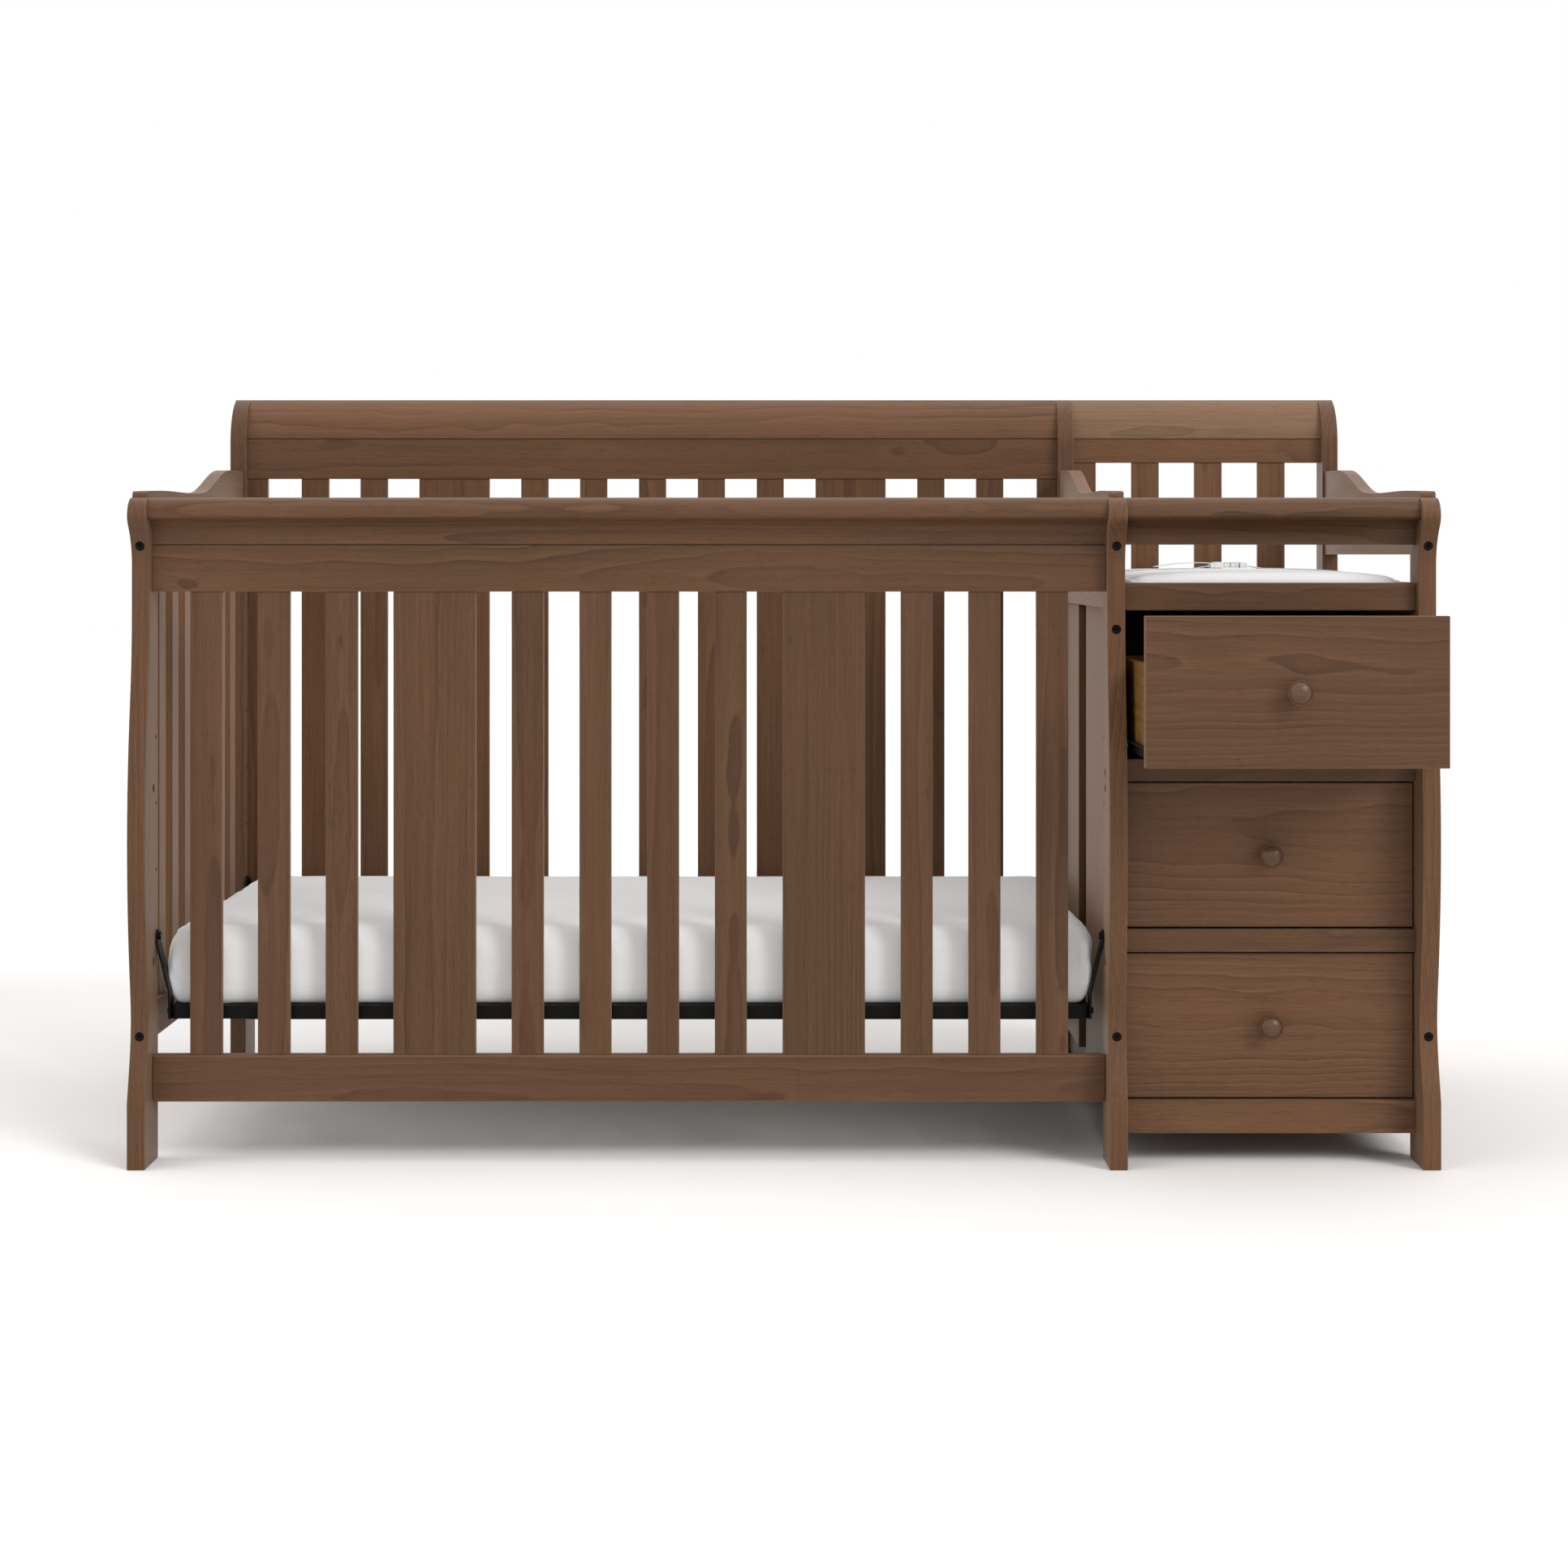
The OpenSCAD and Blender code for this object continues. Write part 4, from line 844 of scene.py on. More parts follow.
    def ease_edges(self, shape: Shape) -> None:
        """Rounds the sharp edges of each board that run on for long enough, with full painted
        highlight.
        """
        self.round_each(shape, self.long_runs, self.ease, self.segments, 1.0)

    def long_runs(self, edges: list[Edge]) -> list[Edge]:
        """Picks the sharp edges, and drops small closed runs such as the rims of bolt holes.

        Args:
            edges: A board's edges.

        Returns:
            The sharp edges in runs that span more than the shortest length.
        """
        limit = math.radians(self.sharp_angle)
        kept, waiting = [], {e for e in edges if e.calc_face_angle(0.0) > limit}
        while waiting:
            run = [waiting.pop()]
            for edge in run:
                linked = {e for v in edge.verts for e in v.link_edges} & waiting
                waiting -= linked
                run.extend(linked)
            low, high = corners([v.co for e in run for v in e.verts])
            if (high - low).length > self.shortest:
                kept.extend(run)
        return kept


# ---- Boards ----


@dataclass
class BoardAssembly:
    """A sub-assembly of stained boards, one piece for each CAD node."""

    boards: tuple[str, ...] = ()
    ease: float = 0.0011
    # Painted light and shade for the whole assembly, as a factor on its colour.
    tone_and_painted_light: float = 1.0
    finish: WoodFinish = STAINED
    joints: ClassVar[dict[str, Joint]] = {
        "front_crown": Joint.BELOW, "front_top_rail": Joint.ABOVE,
        "back_crown": Joint.BELOW, "back_top_rail": Joint.ABOVE,
        "hutch_crown": Joint.BELOW, "hutch_top_rail": Joint.ABOVE,
    }
    # Painted light and shade for single boards, lighter or darker as light falls on them.
    painted_light_by_board: ClassVar[dict[str, float]] = {
        "hutch_crown": 1.16, "back_crown": 1.12, "toe_rail": 1.34, "tray_rail": 1.12,
        "front_middle_post": 1.1, "front_right_post": 1.34, "front_slats": 0.94,
        "left_end_slats": 1.18,
    }

    def build(self) -> None:
        """Builds and dresses every board."""
        for node in self.boards:
            self.board(node, self.ease, joint=self.joints.get(node, Joint.NONE))

    def board(self, node: str, ease: float, **settings: object) -> None:
        """Builds and dresses one node's boards, with any settings of EasedSolids."""
        tone_and_painted_light = self.tone_and_painted_light * self.painted_light_by_board.get(node, 1.0)
        EasedSolids(node, ease, tone_and_painted_light=tone_and_painted_light, **settings).dressed(self.finish_of(node))

    def finish_of(self, node: str) -> WoodFinish:
        """The finish of a node: straight-grained slats, smoother mouldings, a hutch crown paler with
        painted sky light.

        Args:
            node: The CAD node.

        Returns:
            The finish.
        """
        if self.finish is not STAINED:
            return self.finish
        if node.endswith("slats"):
            return SIDE_STAINED if node.startswith("left_end") else STRAIGHT_STAINED
        if node == "hutch_crown":
            return SKY_LIT_STAINED
        return MOULDED_STAINED if node.endswith(("crown", "guard")) else self.finish


@dataclass
class Posts(BoardAssembly):
    """The six posts, sawn to an S-curve."""

    boards: tuple[str, ...] = tuple(
        f"{end}_{place}_post" for end in ("front", "back") for place in ("left", "middle", "right")
    )
    ease: float = 0.0014


@dataclass
class Panel(BoardAssembly):
    """A long side of the crib."""

    bottom_rail: str = ""
    bottom_ease: float = 0.003
    bottom_segments: int = 3

    def build(self) -> None:
        """Builds the panel, with a softer edge on the bottom rail."""
        super().build()
        self.board(self.bottom_rail, self.bottom_ease, segments=self.bottom_segments)


@dataclass
class FrontPanel(Panel):
    """The crib's front: crown, rails and slats."""

    boards: tuple[str, ...] = ("front_crown", "front_top_rail", "front_slats")
    bottom_rail: str = "front_bottom_rail"


@dataclass
class BackPanel(Panel):
    """The crib's back: crown, rails, slats and stiles."""

    boards: tuple[str, ...] = ("back_crown", "back_top_rail", "back_slats")
    bottom_rail: str = "back_bottom_rail"
    # Painted light: the back's boards are made lighter for the light falling on them.
    tone_and_painted_light: float = 1.18


@dataclass
class EndFrames(BoardAssembly):
    """The three ends: shaped top rails, the left end's slats and the divider boards."""

    boards: tuple[str, ...] = ("left_end_bottom_rail", "left_end_slats", "divider_boards")
    top_rails: tuple[str, ...] = ("left_end_top_rail", "middle_end_top_rail", "right_end_top_rail")
    top_round: float = 0.0052
    # Painted light: the ends' boards are made lighter for the light falling on them.
    tone_and_painted_light: float = 1.25

    def build(self) -> None:
        """Builds the ends, with rounded tops on the shaped rails."""
        super().build()
        for node in self.top_rails:
            self.board(node, self.ease, top_round=self.top_round)


@dataclass
class Chest(BoardAssembly):
    """The chest's visible boards and the guard in front of the pad."""

    boards: tuple[str, ...] = (
        "chest_right_side", "tray_rail", "drawer_rails", "toe_rail", "changer_guard",
    )


@dataclass
class ChestInside(BoardAssembly):
    """The chest's boards that are only seen from inside, above or behind."""

    boards: tuple[str, ...] = ("chest_left_side", "chest_base", "chest_back", "tray_board")
    ease: float = 0.0008
    finish: WoodFinish = STAINED_INSIDE


@dataclass
class Hutch(BoardAssembly):
    """The changer's back: crown, rails, slats and stile."""

    boards: tuple[str, ...] = ("hutch_crown", "hutch_top_rail", "hutch_low_rail", "hutch_slats")
    # Painted light: the hutch's boards are made lighter for the light falling on them from above.
    tone_and_painted_light: float = 1.42


# ---- Drawers ----


@dataclass
class Knob:
    """A turned knob with a beaded rim and a shallow dome, and its screw.

    Its outline gives radius and distance from the drawer's face in millimetres.
    """

    drawer: str
    steps: int = 64
    groove: Pair = (0.0141, 0.0153)
    groove_out: float = 0.022
    # Painted shade in the groove beside the rim's bead.
    groove_painted_shade: float = 0.78
    heart_depth: Pair = (0.03, 0.06)
    crease_angle: float = 50.0
    wood_depth: float = 0.012
    screw_ease: float = 0.0004
    screw_rim: float = 0.003
    outline: tuple[Pair, ...] = (
        (0.0, 0.0), (8.0, 0.0), (8.0, 2.0), (6.8, 5.0), (6.5, 8.0), (7.4, 12.0), (10.0, 15.5),
        (13.8, 18.2), (16.3, 19.9), (17.0, 21.4), (16.8, 22.7), (16.1, 23.4), (15.4, 23.3),
        (15.0, 22.5), (14.5, 22.5), (13.9, 23.6), (12.4, 25.1), (9.8, 26.9), (6.6, 28.1),
        (3.2, 28.65), (0.0, 28.8),
    )

    def build(self) -> None:
        """Turns the knob, and keeps the screw from the node's own solids."""
        node = f"{self.drawer}_drawer_knob"
        body = f"{self.drawer}_drawer"
        centre = middle_and_half(node)[0]
        face_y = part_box(f"{body}_front")[0].y
        knob = self.turned(Vector((centre.x, face_y, centre.z)), node)
        smooth(knob, self.crease_angle)
        dress(knob, TURNED_STAINED, body, node)
        dress(self.screw(node, face_y), BOLT_BLACK, body, node)

    def turned(self, foot: Vector, node: str) -> Piece:
        """Spins the outline round the knob's axis.

        Args:
            foot: The middle of the knob's foot, on the drawer's face.
            node: The knob's CAD node, whose name seeds its grain.

        Returns:
            The knob's piece.
        """
        shape = bmesh.new()
        verts = [
            shape.verts.new(foot + Vector((radius, -out, 0.0)) / MM_PER_METRE)
            for radius, out in self.outline
        ]
        edges = [shape.edges.new(pair) for pair in zip(verts, verts[1:])]
        bmesh.ops.spin(
            shape, geom=verts + edges, cent=foot, axis=(0, -1, 0), angle=2 * math.pi,
            steps=self.steps, use_merge=True,
        )
        bmesh.ops.remove_doubles(shape, verts=shape.verts, dist=MERGE_DISTANCE)
        bmesh.ops.recalc_face_normals(shape, faces=shape.faces)
        EasedSolids(node, heart_depth=self.heart_depth).mark_boards(shape)
        tone_and_painted_light = shape.faces.layers.float["tone_and_painted_light"]
        for face in shape.faces:
            face.material_index = GrainAxis.X.value
            middle = face.calc_center_median() - foot
            radius = math.hypot(middle.x, middle.z)
            # Painted shade in the groove beside the rim's bead.
            if self.groove[0] < radius < self.groove[1] and -middle.y > self.groove_out:
                face[tone_and_painted_light] *= self.groove_painted_shade
        return piece_from(shape, f"{node}_turned")

    def screw(self, node: str, face_y: float) -> Piece:
        """The screw behind the knob, which is the node's part inside the drawer.

        Args:
            node: The knob's CAD node.
            face_y: Where the drawer's face stands.

        Returns:
            The screw's piece.
        """
        shape = copy_of(node)
        marks = EasedSolids(node, ease=self.screw_ease, shortest=self.screw_rim)
        marks.mark_boards(shape)
        outside = [
            board for board in marks.boards(shape)
            if max(v.co.y for f in board for v in f.verts) < face_y + self.wood_depth
        ]
        bmesh.ops.delete(shape, geom=[f for b in outside for f in b], context="FACES")
        marks.ease_edges(shape)
        screw = piece_from(shape, f"{node}_screw")
        smooth(screw)
        return screw


@dataclass
class Drawer:
    """A drawer: front, box, knob, runners and rollers."""

    name: str
    # Painted light on the front, as a factor on its colour.
    tone_and_painted_light: float = 1.0
    front_ease: float = 0.0012
    front_trim: float = 0.0006
    box_ease: float = 0.0009
    steel_ease: float = 0.0003
    roller_ease: float = 0.0005
    roller_rim: float = 0.004
    top_trim: float = 0.012
    top_reach: float = 0.003

    def build(self) -> None:
        """Builds and dresses the drawer's pieces."""
        body = f"{self.name}_drawer"
        front = EasedSolids(f"{body}_front", self.front_ease, tone_and_painted_light=self.tone_and_painted_light)
        dress(self.draw_in(front.build(), front.node), STAINED, body, front.node)
        box = EasedSolids(f"{body}_box", self.box_ease)
        dress(self.lower_tops(box.build(), box.node), GOLDEN_PINE, body, box.node)
        EasedSolids(f"{body}_runners", self.steel_ease, segments=1).dressed(BLACK_STEEL, body)
        Knob(self.name).build()
        for end in ("front", "rear"):
            node = f"{self.name}_{end}_rollers"
            rollers = EasedSolids(node, self.roller_ease, shortest=self.roller_rim)
            rollers.dressed(ROLLER_NYLON, f"{self.name}_{end}_roller_pair")

    def draw_in(self, front: Piece, node: str) -> Piece:
        """Draws the front's edges in, for the dark line around it.

        Args:
            front: The drawer front.
            node: Its CAD node.

        Returns:
            The front.
        """
        middle, half = middle_and_half(node)
        for vert in front.data.vertices:
            for i in (0, 2):
                vert.co[i] -= self.front_trim * (vert.co[i] - middle[i]) / half[i]
        return front

    def lower_tops(self, box: Piece, node: str) -> Piece:
        """Trims the upper edges of the box's boards.

        Args:
            box: The drawer's box.
            node: Its CAD node.

        Returns:
            The box.
        """
        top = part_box(node)[1].z
        for vert in box.data.vertices:
            if vert.co.z > top - self.top_reach:
                vert.co.z -= self.top_trim
        return box


# ---- Steel ----


@dataclass
class Hangers(EasedSolids):
    """The four plates that hold the mattress support, with round upper ends."""

    node: str = "mattress_hangers"
    ease: float = 0.0005
    broader: float = 1.3
    end_round: float = 0.0115
    bend_below_top: float = 0.030
    bend_lift: float = 0.009
    bend_reach: float = 0.004
    top_trim: float = 0.0055
    top_reach: float = 0.0005
    end_segments: int = 7

    def ease_edges(self, shape: Shape) -> None:
        """Broadens the plates, bends them nearer to the bolt and rounds their upper ends.

        Args:
            shape: The bmesh.
        """
        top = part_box(self.node)[1].z
        for plate in self.boards(shape):
            verts = {v for f in plate for v in f.verts}
            low, high = corners([v.co for v in verts])
            middle = (low.y + high.y) / 2
            for vert in verts:
                vert.co.y = middle + (vert.co.y - middle) * self.broader
                if abs(vert.co.z - top + self.bend_below_top) < self.bend_reach:
                    vert.co.z += self.bend_lift
                elif vert.co.z > top - self.top_reach:
                    vert.co.z -= self.top_trim
        ends = [
            e for e in shape.edges
            if min(v.co.z for v in e.verts) > top - self.top_trim - self.top_reach
            and abs(e.verts[0].co.y - e.verts[1].co.y) < MERGE_DISTANCE
        ]
        bevel(shape, ends, self.end_round, self.end_segments)
        super().ease_edges(shape)


@dataclass
class Steelwork:
    """The chest's runners, the mattress's support and hangers, and the bolts."""

    coated: tuple[str, ...] = ("chest_runners", "mattress_support")
    bolts: tuple[str, ...] = ("frame_bolts", "hanger_bolts")
    steel_ease: float = 0.0004
    bolt_ease: float = 0.0006
    bolt_rim: float = 0.008

    def build(self) -> None:
        """Builds and dresses the steel."""
        for node in self.coated:
            EasedSolids(node, self.steel_ease).dressed(BLACK_STEEL)
        Hangers().dressed(BLACK_STEEL)
        for node in self.bolts:
            EasedSolids(node, self.bolt_ease, shortest=self.bolt_rim).dressed(BOLT_BLACK)


# ---- Soft goods ----


@dataclass
class PaddedForm:
    """A cushion: an even grid over a box with rounded edges, puffed by a cloth simulation."""

    node: str = ""
    pressure: float = 4.0
    frames: int = 20
    reach: float = 0.006
    fill: float = 0.8
    top_trim: float = 0.0
    cuts: tuple[int, int, int] = (60, 60, 8)
    closeness: Triple = (0.6, 0.6, 0.0)
    top_round: Triple = (0.02, 0.02, 0.02)
    foot_round: Triple = (0.01, 0.01, 0.01)
    crown: float = 0.0
    quality: int = 4
    finish: ClothFinish = FITTED_SHEET

    def build(self) -> Piece:
        """Covers, puffs, shapes and dresses the form.

        Returns:
            The piece.
        """
        piece = self.cover()
        self.puff(piece)
        self.shape(piece)
        self.fit(piece)
        piece.data.shade_smooth()
        rounding = piece.modifiers.new("rounding", "SUBSURF")
        rounding.levels = rounding.render_levels = 1
        dress(piece, self.finish, ROOT_BODY, self.node)
        return piece

    def cover(self) -> Piece:
        """Lays an even grid over the solid's box, and draws it in to its rounded form.

        Returns:
            The cover's piece.
        """
        middle, half = middle_and_half(self.node)
        shape = bmesh.new()
        bmesh.ops.create_cube(shape, size=2.0)
        for axis, cuts in enumerate(self.cuts):
            along = [e for e in shape.edges if self.runs_along(e, axis, 0.5 / cuts)]
            bmesh.ops.subdivide_edges(shape, edges=along, cuts=cuts, use_grid_fill=True)
        for vert in shape.verts:
            place = Vector(self.crowd(vert.co[i], self.closeness[i]) * half[i] for i in range(3))
            vert.co = middle + self.rounded(place, half)
        bmesh.ops.recalc_face_normals(shape, faces=shape.faces)
        return piece_from(shape, f"{self.node}_cover")

    @staticmethod
    def runs_along(edge: Edge, axis: int, shortest: float) -> bool:
        """Whether an edge of the grid runs along an axis and is longer than a length."""
        span = edge.verts[0].co - edge.verts[1].co
        return all(abs(span[i]) > shortest if i == axis else abs(span[i]) < 1e-6 for i in range(3))

    @staticmethod
    def crowd(place: float, closeness: float) -> float:
        """Moves a place between -1 and 1 so that places crowd near both ends."""
        return place * (1.0 - closeness) + math.sin(place * math.pi / 2) * closeness

    def rounded(self, place: Vector, half: Vector) -> Vector:
        """Draws a point of the box in to the rounded form.

        Args:
            place: The point, counted from the box's middle.
            half: Half the box's size.

        Returns:
            The point on the rounded form.
        """
        share = slow_ends(min(1.0, max(0.0, 0.5 + place.z / half.z)))
        rounds = [
            foot + (top - foot) * share for foot, top in zip(self.foot_round, self.top_round)
        ]
        rounds[2] = (self.top_round if place.z > 0 else self.foot_round)[2]
        drop = self.crown * (place.x / half.x) ** 2 if place.z > 0 else 0.0
        place = place - Vector((0, 0, drop))
        past = [max(0.0, abs(place[i]) - half[i] + rounds[i]) / rounds[i] for i in range(3)]
        total = math.sqrt(sum(p * p for p in past))
        if total < 1e-9:
            return place
        most = max(past)
        return Vector(
            math.copysign(half[i] - rounds[i] + rounds[i] * past[i] * most / total, place[i])
            if past[i] > 0 else place[i]
            for i in range(3)
        )

    @staticmethod
    def apply(piece: Piece) -> None:
        """Keeps what the modifiers make as the piece's own mesh.

        Args:
            piece: The piece.
        """
        graph = bpy.context.evaluated_depsgraph_get()
        made = bpy.data.meshes.new_from_object(piece.evaluated_get(graph))
        piece.modifiers.clear()
        piece.data = made

    def puff(self, piece: Piece) -> None:
        """Lets the cover swell under pressure, and holds each point near where it began.

        Args:
            piece: The cover.
        """
        began = [v.co.copy() for v in piece.data.vertices]
        cloth = piece.modifiers.new("cover", "CLOTH")
        cloth.settings.quality = self.quality
        cloth.settings.use_pressure = True
        cloth.settings.uniform_pressure_force = self.pressure
        cloth.settings.effector_weights.gravity = 0.0
        cloth.point_cache.frame_start = 1
        cloth.point_cache.frame_end = self.frames
        for number in range(1, self.frames + 1):
            bpy.context.scene.frame_set(number)
        self.apply(piece)
        bpy.context.scene.frame_set(1)
        floor = min(p.z for p in began)
        for vert, start in zip(piece.data.vertices, began):
            move = vert.co - start
            if move.length > self.reach:
                vert.co = start + move * (self.reach / move.length)
            vert.co.z = max(vert.co.z, floor)

    def shape(self, piece: Piece) -> None:
        """Adds folds and ripples; a plain form has none."""

    def fit(self, piece: Piece) -> None:
        """Brings the finished form back to its solid's length, width and height.

        Args:
            piece: The form.
        """
        verts = piece.data.vertices
        low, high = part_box(self.node)
        high = high - Vector((0, 0, self.top_trim))
        least, most = corners([v.co for v in verts])
        for i in range(3):
            scale = (high[i] - low[i]) / (most[i] - least[i])
            for vert in verts:
                vert.co[i] = low[i] + (vert.co[i] - least[i]) * scale


@dataclass(frozen=True)
class Fold:
    """A ridge or crease of the sheet near a front corner.

    Its points are counted in from the end, back from the front and up from the foot.
    """

    side: int
    height: float
    width: float
    path: tuple[Triple, ...]

    def lift(self, place: Vector, low: Vector, high: Vector) -> float:
        """How far the fold raises the sheet at a point.

        Args:
            place: The point.
            low: The mattress's lowest corner.
            high: Its highest corner.

        Returns:
            The lift, which is negative in a crease.
        """
        inward = high.x - place.x if self.side > 0 else place.x - low.x
        here = Vector((inward, place.y - low.y, place.z - low.z))
        away = min(self.distance(here, *ends) for ends in zip(self.path, self.path[1:]))
        return self.height * math.exp(-((away / self.width) ** 2))

    @staticmethod
    def distance(place: Vector, start: Triple, end: Triple) -> float:
        """A point's distance from one stretch of the path.

        Args:
            place: The point.
            start: The stretch's start.
            end: Its end.

        Returns:
            The distance.
        """
        near, along = geometry.intersect_point_line(place, Vector(start), Vector(end))
        near = Vector(start) if along < 0 else Vector(end) if along > 1 else near
        return (place - near).length


@dataclass
class Mattress(PaddedForm):
    """The mattress in its fitted sheet: fat round ends, a tucked foot and a few folds."""

    node: str = "mattress"
    reach: float = 0.004
    cuts: tuple[int, int, int] = (124, 70, 15)
    closeness: Triple = (0.72, 0.55, 0.0)
    top_round: Triple = (0.031, 0.027, 0.037)
    foot_round: Triple = (0.022, 0.005, 0.056)
    top_trim: float = 0.002
    ripple: float = 0.0011
    ripple_rate: Triple = (7.0, 22.0, 20.0)
    ripple_reach: float = 0.3
    ripple_least: float = 0.4
    upward: float = 0.7
    pull: float = 0.0030
    pull_reach: float = 0.19
    pull_pitch: float = 0.064
    pull_wander: float = 3.0
    fold_reach: Pair = (0.08, 0.33)
    proud: float = 0.003
    folds: tuple[Fold, ...] = (
        Fold(1, 0.0055, 0.005, (
            (0.0106, 0.0065, 0.0862), (0.0078, 0.0065, 0.0727), (0.0075, 0.0055, 0.0577),
            (0.0095, 0.0035, 0.0427), (0.0123, 0.0025, 0.0292),
        )),
        Fold(1, -0.0038, 0.0055, (
            (0.0200, 0.0035, 0.0830), (0.0170, 0.0025, 0.0630), (0.0195, 0.0015, 0.0390),
        )),
        Fold(1, 0.0024, 0.009, ((0.032, 0.1275, 0.1117), (0.009, 0.1275, 0.1007))),
        Fold(1, 0.0024, 0.009, ((0.027, 0.0875, 0.1117), (0.006, 0.0855, 0.0987))),
        Fold(1, 0.0055, 0.022, ((0.007, 0.0175, 0.0947), (0.007, 0.2425, 0.0967))),
        Fold(-1, -0.0018, 0.005, (
            (0.0033, 0.0075, 0.0691), (0.0070, 0.0050, 0.0550), (0.0121, 0.0025, 0.0397),
        )),
        Fold(-1, 0.0013, 0.005, ((0.0075, 0.0065, 0.0720), (0.0130, 0.0035, 0.0520))),
    )

    def shape(self, piece: Piece) -> None:
        """Adds faint ripples near the ends, and the folds at the front corners.

        Args:
            piece: The form.
        """
        low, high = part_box(self.node)
        room = Vector((self.proud,) * 3)
        normals = [v.normal.copy() for v in piece.data.vertices]
        for vert, normal in zip(piece.data.vertices, normals):
            place = vert.co.copy()
            end = min(place.x - low.x, high.x - place.x)
            wave = noise.noise(place * Vector(self.ripple_rate))
            share = self.ripple_least + max(0.0, 1.0 - end / self.ripple_reach)
            lift = wave * self.ripple * share
            if normal.z > self.upward:
                fade = max(0.0, 1.0 - (place.x - low.x) / self.pull_reach)
                turns = 2 * math.pi * place.y / self.pull_pitch + self.pull_wander * wave
                lift += math.sin(turns) * self.pull * fade
            if end < self.fold_reach[0] and place.y < low.y + self.fold_reach[1]:
                side = 1 if place.x > (low.x + high.x) / 2 else -1
                lift += sum(f.lift(place, low, high) for f in self.folds if f.side == side)
            vert.co = place + normal * lift
            for i in range(3):
                vert.co[i] = min(max(vert.co[i], low[i] - room[i]), high[i] + room[i])
            vert.co.z = max(vert.co.z, low.z)


@dataclass
class ChangingPad(PaddedForm):
    """The changing pad, slightly domed from side to side."""

    node: str = "changing_pad"
    reach: float = 0.003
    cuts: tuple[int, int, int] = (56, 84, 8)
    top_round: Triple = (0.026, 0.024, 0.018)
    foot_round: Triple = (0.009, 0.009, 0.012)
    crown: float = 0.003
    corner_fall: float = 0.0088
    corner_reach: float = 0.5
    fill: float = 0.7
    finish: ClothFinish = PAD_COVER

    def shape(self, piece: Piece) -> None:
        """Lets the top fall towards the two front corners, where the filling is thinner.

        Args:
            piece: The form.
        """
        low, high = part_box(self.node)
        middle, half = middle_and_half(self.node)
        for vert in piece.data.vertices:
            aside = min(1.0, abs(vert.co.x - middle.x) / half.x) ** 3
            forward = max(0.0, 1.0 - (vert.co.y - low.y) / self.corner_reach) ** 2
            height = (vert.co.z - low.z) / (high.z - low.z)
            vert.co.z -= self.corner_fall * aside * forward * height


